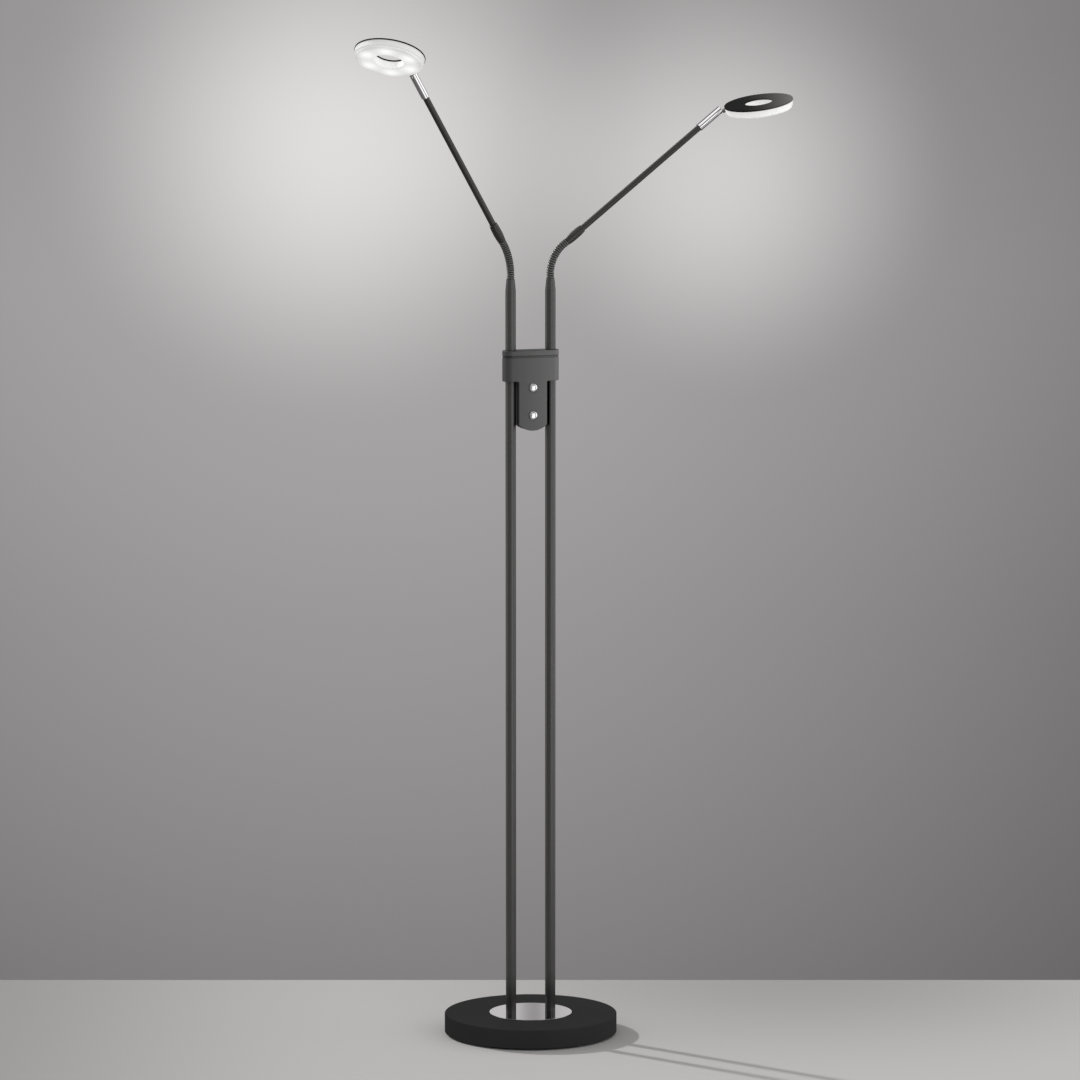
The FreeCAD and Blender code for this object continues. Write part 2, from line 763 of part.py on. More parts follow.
def button(label, height):
    """A domed cap with a retaining flange and a plunger, pressed towards +Y."""
    rim = "front_wall+flange_gap+button_proud"
    dome_radius = "(button_radius^2+button_crown^2)/(2*button_crown)"
    plunger = turned(label + "_plunger", [
        ("0", "-plunger_length-flange_thickness"),
        ("plunger_radius", "-plunger_length-flange_thickness"),
        ("plunger_radius", "-flange_thickness"),
        ("button_flange", "-flange_thickness"),
        ("button_flange", "0"),
        ("button_radius", "0"),
        ("button_radius", rim),
        ("0", rim),
    ])
    crown = common(label + "_crown",
                   ball(label + "_ball", dome_radius, rim + "+button_crown-" + dome_radius),
                   rod(label + "_cap", "button_radius", "button_crown", ("0", "0", rim)))
    piece = fuse(label + "_body", plunger, crown)
    piece.Placement = FreeCAD.Placement(
        FreeCAD.Vector(0, size("-band_depth/2+front_wall+flange_gap"), size(height)),
        FreeCAD.Rotation(FreeCAD.Vector(1, 0, 0), 90))
    keep(label, piece)


# Arms: frames along each flexible neck and arm
def unit(swing, lean):
    """Direction at an angle lean from upright, leaning towards the compass angle swing."""
    return FreeCAD.Vector(math.sin(lean) * math.cos(swing), math.sin(lean) * math.sin(swing), math.cos(lean))


def frame_at(origin, z_axis, x_axis):
    y_axis = z_axis.cross(x_axis)
    return FreeCAD.Placement(origin, FreeCAD.Rotation(x_axis, y_axis, z_axis, "ZXY"))


class Arm:
    """Places along one arm, worked out from its angles in the sheet."""

    def __init__(self, side):
        swing = math.radians(size(side + "_swing"))
        bend = math.radians(size(side + "_bend"))
        step = size("link_length")
        self.links = []
        spot = FreeCAD.Vector(size(pole_x(side)), 0, size("neck_foot"))
        for number in range(LINKS):
            lean = bend * number / (LINKS - 1)
            axis = unit(swing, lean)
            outward = unit(swing, lean + math.pi / 2)
            self.links.append(frame_at(spot, axis, outward))
            spot = spot + axis * step
        self.axis = unit(swing, bend)
        outward = unit(swing, bend + math.pi / 2)
        self.arm = frame_at(spot, self.axis, outward)
        slot = math.radians(size(side + "_slot"))
        aside = self.axis.cross(outward)
        toward = outward * math.cos(slot) + aside * math.sin(slot)
        self.pivot = spot + self.axis * size("barrel_length+tube_length+sleeve_length-ball_setback")
        self.sleeve = frame_at(self.pivot, self.axis, toward)
        tilt = math.radians(size(side + "_tilt"))
        self.stem = self.axis * math.cos(tilt) + toward * math.sin(tilt)
        flat = self.axis * math.sin(tilt) - toward * math.cos(tilt)
        self.tilt_axis = toward.cross(self.axis) * -1
        self.ball = frame_at(self.pivot, self.stem, flat * -1)
        roll = math.radians(size(side + "_roll"))
        self.normal = flat * math.cos(roll) + self.stem.cross(flat) * math.sin(roll)
        centre = self.pivot + self.stem * size("head_reach")
        self.head = frame_at(centre, self.normal, self.stem)
        self.stem_frame = frame_at(self.pivot, self.stem, self.normal * -1)


def rib_outline(low_face, high_face):
    """The ribs of one link, with a sharp groove halfway between each two of them."""
    corners = [("rib_root", low_face)]
    for mark in range(1, 2 * RIBS_PER_LINK):
        radius = "rib_crest" if mark % 2 else "rib_root"
        corners.append((radius, "link_length*%d/%d" % (mark, 2 * RIBS_PER_LINK)))
    corners.append(("rib_root", high_face))
    return corners


def neck_link(side, number, place):
    """Three ribs; the first link has a spigot below, the last one a spigot above."""
    label = "neck_%s_%d" % (side, number)
    first = number == 1
    last = number == LINKS
    low_face = "link_length/%d-rib_half" % (2 * RIBS_PER_LINK)
    high_face = "link_length-link_length/%d+rib_half" % (2 * RIBS_PER_LINK)
    if first:
        start = [("wire_bore", "-spigot_length"), ("neck_spigot", "-spigot_length"),
                 ("neck_spigot", "neck_gap"), ("rib_root", "neck_gap")]
    else:
        start = [("wire_bore", low_face)]
    if last:
        finish = [("rib_root", "link_length"), ("tube_radius", "link_length"),
                  ("tube_radius", "link_length+spigot_length"), ("wire_bore", "link_length+spigot_length")]
    else:
        finish = [("wire_bore", high_face)]
    piece = turned(label + "_ribs", start + rib_outline(low_face, high_face) + finish)
    if not last:
        knob = cut(label + "_knob", ball(label + "_ball", "neck_ball", "link_length"),
                   rod(label + "_knob_bore", "wire_bore", "2*link_length"))
        above = rod(label + "_above", "2*rib_crest", "link_length", ("0", "0", high_face))
        piece = fuse(label + "_joined", piece, common(label + "_knob_top", knob, above))
    if not first:
        piece = cut(label + "_socketed", piece, ball(label + "_socket", "neck_ball+neck_ball_fit", "0"))
    piece.Placement = place
    keep(label, piece)


def arm_parts(side, arm):
    barrel = turned("barrel_body_" + side, [
        ("tube_radius+tube_fit", "0"),
        ("barrel_end", "0"),
        ("barrel_end", "barrel_length", "barrel_middle", "barrel_length/2"),
        ("tube_radius+tube_fit", "barrel_length"),
    ])
    barrel.Placement = arm.arm
    keep("arm_ferrule_" + side, barrel)
    top = "barrel_length+tube_length+sleeve_overlap"
    tube = turned("tube_body_" + side, [
        ("tube_radius-tube_wall", "tube_low"),
        ("tube_radius", "tube_low"),
        ("tube_radius", top),
        ("tube_radius-tube_wall", top),
    ])
    tube.Placement = arm.arm
    keep("arm_tube_" + side, tube)


def sleeve_parts(side, arm):
    """Measured from the pivot of the ball joint, the arm running down along -Z."""
    low = "ball_setback-sleeve_length"
    shoulder = low + "+sleeve_overlap+seat_gap"
    shell = turned("sleeve_shell_" + side, [
        ("tube_radius+sleeve_fit", low),
        ("sleeve_radius-sleeve_chamfer", low),
        ("sleeve_radius", low + "+sleeve_chamfer"),
        ("sleeve_radius", "ball_setback-sleeve_chamfer"),
        ("sleeve_radius-sleeve_chamfer", "ball_setback"),
        ("mouth_radius", "ball_setback"),
        ("mouth_radius", "0"),
        ("ball_radius+ball_fit", "0"),
        ("ball_radius+ball_fit", shoulder),
        ("tube_radius+sleeve_fit", shoulder),
    ])
    socket = ball("sleeve_socket_" + side, "ball_radius+ball_fit", "0")
    slot = block("sleeve_slot_" + side, ("2*sleeve_radius", "2*slot_half", "2*ball_setback"),
                 ("0", "-slot_half", "0"))
    slot_end = rod("sleeve_slot_end_" + side, "slot_half", "2*sleeve_radius", ("0", "0", "0"), "x")
    sleeve = cut("sleeve_cut_" + side, shell, socket, slot, slot_end)
    sleeve.Placement = arm.sleeve
    keep("sleeve_" + side, sleeve)
    seat_blank = turned("seat_blank_" + side, [
        ("stem_radius", shoulder),
        ("ball_radius", shoulder),
        ("ball_radius", "-seat_below"),
        ("stem_radius", "-seat_below"),
    ])
    seat = cut("seat_cut_" + side, seat_blank, ball("seat_hollow_" + side, "ball_radius+ball_fit", "0"))
    seat.Placement = arm.sleeve
    keep("ball_seat_" + side, seat)


def joint_parts(side, arm):
    bore = rod("swivel_bore_" + side, "pin_radius+pin_fit", "4*ball_radius", ("0", "0", "-2*ball_radius"))
    pocket = rod("swivel_pocket_" + side, "rivet_pocket", "2*ball_radius",
                 ("0", "0", "-2*ball_radius-rivet_high+pin_fit"))
    swivel = cut("swivel_cut_" + side, ball("swivel_blank_" + side, "ball_radius", "0"), bore, pocket)
    swivel.Placement = arm.ball
    keep("swivel_ball_" + side, swivel)
    stem = turned("stem_body_" + side, [
        ("stem_bore", "-rivet_low"),
        ("rivet_radius", "-rivet_low"),
        ("rivet_radius", "-rivet_high"),
        ("pin_radius", "-rivet_high"),
        ("pin_radius", "stem_start"),
        ("stem_radius", "stem_start"),
        ("stem_radius", "collar_start"),
        ("collar_radius", "collar_start"),
        ("collar_radius", "collar_end"),
        ("thread_radius", "collar_end"),
        ("thread_radius", "thread_end"),
        ("stem_bore", "thread_end"),
    ])
    stem.Placement = arm.stem_frame
    keep("head_stem_" + side, stem)


def stem_cutter(name):
    """The stem's way into the head, measured from the head's centre."""
    return rod(name, "thread_radius+thread_fit", "thread_end+thread_end_gap",
               ("-head_radius-stem_length", "0", "0"), "x")


def head_parts(side, arm):
    top = "head_half"
    under = "head_half-plate_thickness"
    plate = turned("plate_body_" + side, [
        ("head_hole", under),
        ("head_radius", under),
        ("head_radius", top + "-plate_edge"),
        ("head_radius-plate_edge", top),
        ("head_hole+plate_edge", top),
        ("head_hole", top + "-plate_edge"),
    ])
    plate.Placement = arm.head
    keep("head_plate_" + side, plate)

    rim = "head_radius-glass_inset"
    waist = rim + "-glass_draft"
    step = waist + "-glass_step"
    floor = "-head_half"
    hole = "head_hole+glass_hole_inset"
    shell = turned("glass_shell_" + side, [
        (rim, under),
        (waist, floor + "+glass_step_height"),
        (step, floor + "+glass_step_height-glass_step/2"),
        (step, floor + "+glass_round"),
        (step + "-" + ARC_SAG + "*glass_round", floor + "+" + ARC_SAG + "*glass_round"),
        (step + "-glass_round", floor),
        (hole + "+glass_round", floor),
        (hole + "+" + ARC_SAG + "*glass_round", floor + "+" + ARC_SAG + "*glass_round"),
        (hole, floor + "+glass_round"),
        (hole, under),
        (hole + "+glass_wall", under),
        (hole + "+glass_wall", floor + "+glass_floor"),
        (step + "-glass_wall", floor + "+glass_floor"),
        (waist + "-glass_wall", floor + "+glass_step_height+glass_step"),
        (rim + "-glass_wall", under),
    ])
    glass = cut("glass_cut_" + side, shell, stem_cutter("glass_stem_hole_" + side))
    glass.Placement = arm.head
    keep("diffuser_" + side, glass)

    outer = rim + "-glass_wall-tray_gap"
    inner = hole + "+glass_wall+tray_gap"
    ring = turned("tray_ring_" + side, [
        (inner, under + "-tray_thickness"),
        (outer, under + "-tray_thickness"),
        (outer, under),
        (inner, under),
    ])
    boss = block("tray_boss_" + side, ("boss_length", "boss_width", "boss_depth"),
                 ("-(%s)+boss_inset" % outer, "-boss_width/2", under + "-tray_thickness/2-boss_depth"))
    tray = cut("tray_cut_" + side, fuse("tray_blank_" + side, ring, boss),
               stem_cutter("tray_stem_hole_" + side))
    tray.Placement = arm.head
    keep("head_tray_" + side, tray)

    face = under + "-tray_thickness-led_board"
    board = turned("led_disc_" + side, [
        ("led_inner", face),
        ("led_outer", face),
        ("led_outer", face + "+led_board"),
        ("led_inner", face + "+led_board"),
    ])

    def chip(name, x, y):
        return block(name, ("led_chip", "led_chip", "led_height"),
                     (x + "-led_chip/2", y + "-led_chip/2", face + "-led_height"))
    chips = around("led_chip_" + side, LED_CHIPS, "(led_inner+led_outer)/2", chip)
    notch = block("led_notch_" + side, ("2*boss_length", "boss_width+2*tray_gap", "head_radius"),
                  ("-(%s)" % outer, "-boss_width/2-tray_gap", "-head_radius/2"))
    ring_board = cut("led_cut_" + side, fuse("led_blank_" + side, board, *chips), notch)
    ring_board.Placement = arm.head
    keep("led_ring_" + side, ring_board)


def lamp_arm(side):
    arm = Arm(side)
    for number, place in enumerate(arm.links, start=1):
        neck_link(side, number, place)
    arm_parts(side, arm)
    sleeve_parts(side, arm)
    joint_parts(side, arm)
    head_parts(side, arm)
    return arm


base_cover()
base_disc()
base_weight()
base_plate()
base_feet()
led_driver()
cable_grommet()
poles()
bracket_housing()
bracket_cap()
bracket_back()
dimmer()
button("button_upper", "button_high")
button("button_lower", "button_low")
arms = {}
for lamp_side in ("left", "right"):
    pole_ferrule(lamp_side)
    arms[lamp_side] = lamp_arm(lamp_side)
doc.recompute()

faults = [item.Name for item in doc.Objects if {"Invalid", "Error"} & set(item.State)]
faults += [label for label, item in nodes.items() if item.Shape.isNull() or not item.Shape.isValid()]
if faults:
    raise RuntimeError("these objects failed: " + ", ".join(faults))
os.makedirs("parts", exist_ok=True)
for label, item in nodes.items():
    item.Shape.exportStep(os.path.join("parts", label + ".step"))
    print("%-22s %d solid(s) %10.1f mm3" % (label, len(item.Shape.Solids), item.Shape.Volume))
for lamp_side, arm in arms.items():
    print(lamp_side, "pole top", arm.links[0].Base, "ball", arm.pivot, "arm", arm.axis)
    print(lamp_side, "stem", arm.stem, "normal", arm.normal, "tilt axis", arm.tilt_axis)
    print(lamp_side, "hinges", [tuple(round(v, 4) for v in place.Base) for place in arm.links[1:]])
print(len(nodes), "nodes")
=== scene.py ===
import bmesh
import bpy
import json
from math import acos, asin, atan, copysign, cos, degrees, exp, pi, radians, sin, tan
from mathutils import Matrix, Vector


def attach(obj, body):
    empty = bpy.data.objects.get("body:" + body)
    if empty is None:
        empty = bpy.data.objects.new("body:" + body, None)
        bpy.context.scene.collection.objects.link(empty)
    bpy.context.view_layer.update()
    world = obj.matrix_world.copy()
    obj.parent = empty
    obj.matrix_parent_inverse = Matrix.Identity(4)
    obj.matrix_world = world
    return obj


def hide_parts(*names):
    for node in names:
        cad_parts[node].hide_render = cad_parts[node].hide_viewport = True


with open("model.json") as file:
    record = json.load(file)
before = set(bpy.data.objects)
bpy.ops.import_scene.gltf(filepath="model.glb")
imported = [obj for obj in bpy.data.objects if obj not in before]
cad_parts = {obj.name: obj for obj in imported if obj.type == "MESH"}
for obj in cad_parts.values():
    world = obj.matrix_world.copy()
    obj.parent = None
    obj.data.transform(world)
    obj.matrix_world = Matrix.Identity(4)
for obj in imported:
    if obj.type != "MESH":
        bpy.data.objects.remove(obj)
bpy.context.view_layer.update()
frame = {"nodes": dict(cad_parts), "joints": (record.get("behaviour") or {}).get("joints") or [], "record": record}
joints = {joint["name"]: joint for joint in frame["joints"]}
mm = 0.001
fullTurn = 2 * pi
tiny = 1e-5   # metres, for comparing places
sides = ("left", "right")


# Scene value of a grey from 0 to 255
def grey(level):
    share = level / 255
    return share / 12.92 if share <= 0.04045 else ((share + 0.055) / 1.055) ** 2.4


# A colour made darker or lighter
def tinted(colour, share):
    return [part * share for part in colour]


def placed(name, data):
    item = bpy.data.objects.new(name, data)
    bpy.context.scene.collection.objects.link(item)
    return item


def heldMesh(name, bm):
    mesh = bpy.data.meshes.new(name)
    bm.to_mesh(mesh)
    bm.free()
    return mesh


# Camera at the photograph's viewing angle
view = dict(
    distance=8.0, height=1.7634, azimuth=-18.4, yaw=-0.0975, pitch=-7.413,
    focalPixels=5605.0, imagePixels=1080.0, sensorMm=36.0,
)


def makeCamera():
    data = bpy.data.cameras.new("photoCamera")
    data.sensor_width = view["sensorMm"]
    data.lens = view["sensorMm"] * view["focalPixels"] / view["imagePixels"]
    camera = placed("photoCamera", data)
    turn = radians(view["azimuth"])
    camera.location = (view["distance"] * sin(turn), -view["distance"] * cos(turn), view["height"])
    camera.rotation_euler = (radians(90 + view["pitch"]), 0, turn + radians(view["yaw"]))
    bpy.context.scene.camera = camera
    return camera


camera = makeCamera()
bpy.context.view_layer.update()
cameraTurn = camera.matrix_world.to_3x3()
heading = radians(view["azimuth"] + view["yaw"])
ahead = Vector((-sin(heading), cos(heading), 0))
rightward = Vector((cos(heading), sin(heading), 0))


# Direction of a point of the picture, given in its pixels
def sightLine(across, down):
    half = view["imagePixels"] / 2
    return (cameraTurn @ Vector((across - half, half - down, -view["focalPixels"]))).normalized()


# Links an input to another node's output, or sets its value
def feed(socket, value):
    if isinstance(value, bpy.types.NodeSocket):
        socket.id_data.links.new(value, socket)
    else:
        socket.default_value = value


# A node with its inputs and settings; underscores stand for spaces
def node(tree, kind, **values):
    item = tree.nodes.new("ShaderNode" + kind)
    for name, value in values.items():
        label = name.replace("_", " ")
        if label in item.inputs:
            feed(item.inputs[label], value)
        else:
            setattr(item, name, value)
    return item


# The helpers below work in the node tree that their value comes from
def maths(operation, *values):
    item = node(values[0].id_data, "Math", operation=operation)
    for socket, value in zip(item.inputs, values):
        feed(socket, value)
    return item.outputs[0]


# A place's distance from a spot, or its measure along a direction
def measured(operation, place, vector):
    item = node(place.id_data, "VectorMath", operation=operation, Vector=place)
    item.inputs[1].default_value = vector
    return item.outputs["Value"]


def scaled(colour, share):
    return node(share.id_data, "VectorMath", operation="SCALE", Vector=colour, Scale=share).outputs["Vector"]


# A value's way from one end of a range to the other
def spread(value, start, end, low=0.0, high=1.0, kind="SMOOTHSTEP"):
    return node(value.id_data, "MapRange", interpolation_type=kind, Value=value, From_Min=start,
                From_Max=end, To_Min=low, To_Max=high).outputs["Result"]


# Colours by a value, from (value, colour) pairs
def ramp(value, marks, kind="LINEAR"):
    start, end = marks[0][0], marks[-1][0]
    item = node(value.id_data, "ValToRGB", Fac=spread(value, start, end, kind="LINEAR"))
    item.color_ramp.interpolation = kind
    spots = item.color_ramp.elements
    for index, (place, colour) in enumerate(marks):
        share = (place - start) / (end - start)
        spot = spots[index] if index < 2 else spots.new(share)
        spot.position = share
        spot.color = [*colour, 1]
    return item.outputs["Color"]


def mixed(kind, share, first, second):
    return node(share.id_data, "Mix", data_type=kind, Factor=share, A=first, B=second).outputs["Result"]


# Sets or links inputs of a finish's shader
def dress(tree, **values):
    for name, value in values.items():
        feed(tree.nodes["Principled BSDF"].inputs[name.replace("_", " ")], value)


def newFinish(name, **values):
    made = bpy.data.materials.new(name)
    made.use_nodes = True
    dress(made.node_tree, **values)
    return made, made.node_tree, node(made.node_tree, "TexCoord").outputs["Object"]


# Floor, backdrop colours and lights
studio = dict(
    floorGrey=172, floorTint=(1.02, 1.0, 0.985), floorRough=0.9, floorGloss=0.1,
    floorFront=-3.0, floorBack=8.367, floorHalfWidth=6.0,
    # floorLeft and floorRight paint shade on the floor; floorGleam paints a bright patch that only gloss sees, on
    # floor that gloss sees darker
    floorLeft=(-0.95, -0.20, 0.65),               # start, end, darkest share
    floorRight=((0.42, 0.40), 0.75, 0.70),        # across and ahead, reach, darkest share
    floorGleam=((1.25, -1.70), 0.85, 1.05, 2.2),  # across and ahead, its edge, brightness in gloss
    floorMirrored=0.4,                            # brightness of all other floor in gloss
    wallTint=(1.035, 1.0, 1.005),
    wallGreys=((-40.0, 176), (-14.5, 174), (-13.2, 145), (-11.9, 150), (-10.2, 153), (-8.1, 156),
               (-6.0, 164), (-4.6, 170), (-3.3, 170), (-2.1, 170), (8.0, 215), (30.0, 215),
               (89.0, 150)),                      # elevation, grey
    wallGlows=(((330, 122), 310, 0.38), ((732, 168), 240, 0.34),
               ((525, 140), 190, 0.05)),          # centre and reach in pixels, lift
    shadeCentre=(375, 400), shadeReach=1260, shadeDarkest=0.33, shadeOpens=(0.22, 0.60, 0.62),
    mirrored=0.35, mirroredRise=(-1.0, 8.0), mirroredAhead=(0.6, 0.95), ambient=0.48,
    sunEnergy=2.3, sunRise=35.0, sunAcross=0.78, sunTowards=0.625, sunAngle=1.6,
)
# name, place (across, ahead, up), height aimed at, width, height, energy
lightBoxes = (("leftBox", (-2.6, 0.2, 1.3), 1.3, 1.5, 3.2, 14),
              ("rightBox", (2.6, 0.2, 1.3), 1.3, 2.2, 3.2, 25),
              ("frontBox", (1.60, -2.10, 0.75), 0.9, 1.7, 2.2, 14),
              ("topBox", (0.0, -1.0, 3.4), 0.9, 2.0, 2.0, 12))


# A share that falls smoothly from 1 at a direction to 0 at a reach in pixels
def softBall(place, centre, reach):
    return spread(measured("DISTANCE", place, centre), 0, reach / view["focalPixels"], 1, 0)


# The wall: greys by elevation, glows behind the heads and a shade round the picture
def makeWorld():
    world = bpy.data.worlds.new("studioWorld")
    bpy.context.scene.world = world
    world.use_nodes = True
    tree = world.node_tree
    tree.nodes.clear()
    place = node(tree, "TexCoord").outputs["Generated"]
    rise = maths("ARCSINE", node(tree, "SeparateXYZ", Vector=place).outputs["Z"])
    colour = ramp(rise, [(radians(elevation), tinted(studio["wallTint"], grey(level)))
                         for elevation, level in studio["wallGreys"]])
    for centre, reach, lift in studio["wallGlows"]:
        total = node(tree, "VectorMath", operation="ADD", Vector=colour)
        share = softBall(place, sightLine(*centre), reach)
        feed(total.inputs[1], scaled(tinted(studio["wallTint"], lift), share))
        colour = total.outputs["Vector"]
    centre = sightLine(*studio["shadeCentre"])
    fade = softBall(place, centre, studio["shadeReach"])
    start, end, lift = studio["shadeOpens"]
    opened = spread(measured("DISTANCE", place, centre), start, end, 0, lift)
    shade = maths("ADD", spread(fade, 0, 1, studio["shadeDarkest"], 1, "LINEAR"), opened)
    above = spread(rise, *[radians(angle) for angle in studio["mirroredRise"]])
    forward = spread(measured("DOT_PRODUCT", place, ahead), *studio["mirroredAhead"])
    dimmed = spread(maths("MULTIPLY", above, forward), 0, 1, studio["mirrored"], 1, "LINEAR")
    rays = node(tree, "LightPath").outputs
    seen = rays["Is Camera Ray"]
    backdrop = node(tree, "Background", Color=scaled(colour, mixed("FLOAT", seen, dimmed, shade)))
    ambient = node(tree, "Background", Color=(1, 1, 1, 1), Strength=studio["ambient"])
    for name in ("Is Glossy Ray", "Is Transmission Ray"):
        seen = maths("MAXIMUM", seen, rays[name])
    mix = node(tree, "MixShader", Fac=seen)
    feed(mix.inputs[1], ambient.outputs[0])
    feed(mix.inputs[2], backdrop.outputs[0])
    node(tree, "OutputWorld", Surface=mix.outputs[0])


def floorSpot(across, further):
    return rightward * across + ahead * further


# The floor has painted shade to the left and far right, and gloss sees it darker with one painted bright patch, as
# a painted reflection
def makeFloor():
    ground = Vector((camera.location.x, camera.location.y, 0))
    front, back, half = studio["floorFront"], studio["floorBack"], studio["floorHalfWidth"]
    bm = bmesh.new()
    bm.faces.new([bm.verts.new(ground + floorSpot(across, along))
                  for across, along in ((-half, front), (half, front), (half, back), (-half, back))])
    floor = placed("studioFloor", heldMesh("studioFloor", bm))
    made, tree, place = newFinish("paleFloor", Roughness=studio["floorRough"],
                                  Specular_IOR_Level=studio["floorGloss"])
    start, end, darkest = studio["floorLeft"]
    shade = spread(measured("DOT_PRODUCT", place, rightward), start, end, darkest, 1)
    spot, reach, darkest = studio["floorRight"]
    right = spread(measured("DISTANCE", place, floorSpot(*spot)), 0, reach, darkest, 1)
    spot, inner, outer, level = studio["floorGleam"]
    gleam = spread(measured("DISTANCE", place, floorSpot(*spot)), inner, outer, level,
                   studio["floorMirrored"])
    glossy = node(tree, "LightPath").outputs["Is Glossy Ray"]
    for share in (right, mixed("FLOAT", glossy, 1, gleam)):
        shade = maths("MULTIPLY", shade, share)
    dress(tree, Base_Color=scaled(tinted(studio["floorTint"], grey(studio["floorGrey"])), shade))
    floor.data.materials.append(made)


def addLight(name, kind, spot, travel, **values):
    data = bpy.data.lights.new(name, kind)
    for key, value in values.items():
        setattr(data, key, value)
    lamp = placed(name, data)
    lamp.location = spot
    lamp.rotation_euler = travel.to_track_quat("-Z", "Y").to_euler()
    return lamp


def makeLights():
    rise = radians(studio["sunRise"])
    travel = floorSpot(studio["sunAcross"], -studio["sunTowards"]).normalized() * cos(rise)
    travel.z = -sin(rise)
    addLight("keySun", "SUN", -travel, travel, energy=studio["sunEnergy"],
             angle=radians(studio["sunAngle"]))
    for name, (across, further, up), aim, width, height, energy in lightBoxes:
        spot = floorSpot(across, further) + Vector((0, 0, up))
        box = addLight(name, "AREA", spot, Vector((0, 0, aim)) - spot, shape="RECTANGLE", size=width,
                       size_y=height, energy=energy)
        box.visible_camera = False


makeWorld()
makeFloor()
makeLights()
bpy.context.scene.view_settings.view_transform = "Standard"
print("stage: camera, floor, backdrop and lights are in place")


# Shared surface effects
def addSocket(group, label, way):
    kind = "Vector" if label in ("Vector", "Normal") else "Float"
    group.interface.new_socket(name=label, in_out=way, socket_type="NodeSocket" + kind)


def newGroup(name, *labels):
    group = bpy.data.node_groups.new(name, "ShaderNodeTree")
    for label in ("Vector", *labels):
        addSocket(group, label, "INPUT")
    return group, group.nodes.new("NodeGroupInput").outputs


def endGroup(group, **results):
    end = group.nodes.new("NodeGroupOutput")
    for label, value in results.items():
        addSocket(group, label, "OUTPUT")
        feed(end.inputs[label], value)
    return group


# Small even bumps and a slow drift of roughness, as on paint and mouldings
def makeFineGrain():
    group, given = newGroup("fineGrain", "Scale", "Height", "Rough Low", "Rough High")
    grain = node(group, "TexNoise", Vector=given["Vector"], Scale=given["Scale"], Detail=3.0, Roughness=0.6)
    bump = node(group, "Bump", Height=grain.outputs["Fac"], Strength=given["Height"], Distance=0.2 * mm)
    drift = node(group, "TexNoise", Vector=given["Vector"], Scale=14.0, Detail=4.0).outputs["Fac"]
    rough = spread(drift, 0.3, 0.7, given["Rough Low"], given["Rough High"], "LINEAR")
    return endGroup(group, Normal=bump.outputs["Normal"], Roughness=rough, Drift=drift)


# Faint hazy patches, as of handling, on polished metal
def makeSmudges():
    group, given = newGroup("smudges", "Scale", "Clean", "Hazy")
    cloud = node(group, "TexNoise", Vector=given["Vector"], Scale=given["Scale"], Detail=6.0,
                 Roughness=0.65, Distortion=0.4)
    mask = spread(cloud.outputs["Fac"], 0.45, 0.75)
    rough = spread(mask, 0, 1, given["Clean"], given["Hazy"], "LINEAR")
    return endGroup(group, Roughness=rough, Mask=mask)


fineGrain = makeFineGrain()
smudges = makeSmudges()


# Places a shared effect in a finish, with its own values
def useGroup(group, vector, **values):
    given = node(vector.id_data, "Group", node_tree=group, Vector=vector, **values).outputs
    dress(vector.id_data, **{name: given[name] for name in ("Roughness", "Normal") if name in given})
    return given


# Scales a finish's colour by a share
def shadeFinish(share):
    paint = share.id_data.nodes["Principled BSDF"].inputs["Base Color"]
    feed(paint, scaled(paint.links[0].from_socket, share))


# A colour between a darker and a lighter neighbour of it, by a mask
def drifting(colour, drift, mask):
    return mixed("RGBA", mask, [*tinted(colour, 1 - drift), 1], [*tinted(colour, 1 + drift), 1])


# Paint, moulding, rubber or casting: a drifting colour, fine grain and uneven gloss
def grainyFinish(name, colour, drift, roughLow, roughHigh, scale, height, specular, metallic):
    made, tree, vector = newFinish(name, Specular_IOR_Level=specular, Metallic=metallic)
    grain = useGroup(fineGrain, vector, Scale=scale, Height=height, Rough_Low=roughLow,
                     Rough_High=roughHigh)
    dress(tree, Base_Color=drifting(colour, drift, grain["Drift"]))
    return made


def polishedFinish(name, colour, clean, hazy):
    made, tree, vector = newFinish(name, Metallic=1.0)
    marks = useGroup(smudges, vector, Scale=90.0, Clean=clean, Hazy=hazy)
    dress(tree, Base_Color=drifting(colour, -0.03, marks["Mask"]))
    return made


# Polished plate with a painted reflection: its colour changes across it, darkest in a band near the middle, given
# as (place, level) pairs
def discFinish(name, paintedReflectionLevels, clean, hazy):
    made, tree, vector = newFinish(name, Metallic=1.0)
    useGroup(smudges, vector, Scale=24.0, Clean=clean, Hazy=hazy)
    marks = [(place, tinted((1, 1, 1.01), level)) for place, level in paintedReflectionLevels]
    along = measured("DOT_PRODUCT", vector, rightward)
    dress(tree, Base_Color=ramp(along, marks, "B_SPLINE"))
    return made


# Moulding with painted shade: it lightens from one side to the other, and its crevice attribute paints shade into
# the seam, the cap and the tab's sides, made metallic there so that the dark keeps no gloss
def mouldedFinish(name, left, right, reach, darkest):
    made, tree, vector = newFinish(name)
    useGroup(fineGrain, vector, Scale=1500.0, Height=0.12, Rough_Low=0.46, Rough_High=0.54)
    across = node(tree, "SeparateXYZ", Vector=vector).outputs["X"]
    share = spread(across, -reach, reach, kind="LINEAR")
    paintedCreviceShade = node(tree, "Attribute", attribute_name="paintedCreviceShade").outputs["Fac"]
    dress(tree, Base_Color=mixed("RGBA", share, [*left, 1], [*right, 1]), Metallic=paintedCreviceShade)
    shadeFinish(spread(paintedCreviceShade, 0, 1, 1, darkest, "LINEAR"))
    return made


# Painted shade on the poles: darker at their feet, and a black painted shadow in their nook beside the bracket's
# tab; and the head plates' painted reflection from dark to light
paintedPoleShades = dict(
    foot=(50 * mm, 95 * mm), footShade=0.3, nookReach=(26.2 * mm, 27.2 * mm), nookShade=0.05,
    nookLow=(892 * mm, 886 * mm), nookHigh=(956 * mm, 966 * mm),
)
paintedPlateReflection = dict(reach=(300 * mm, 385 * mm), lightest=36)
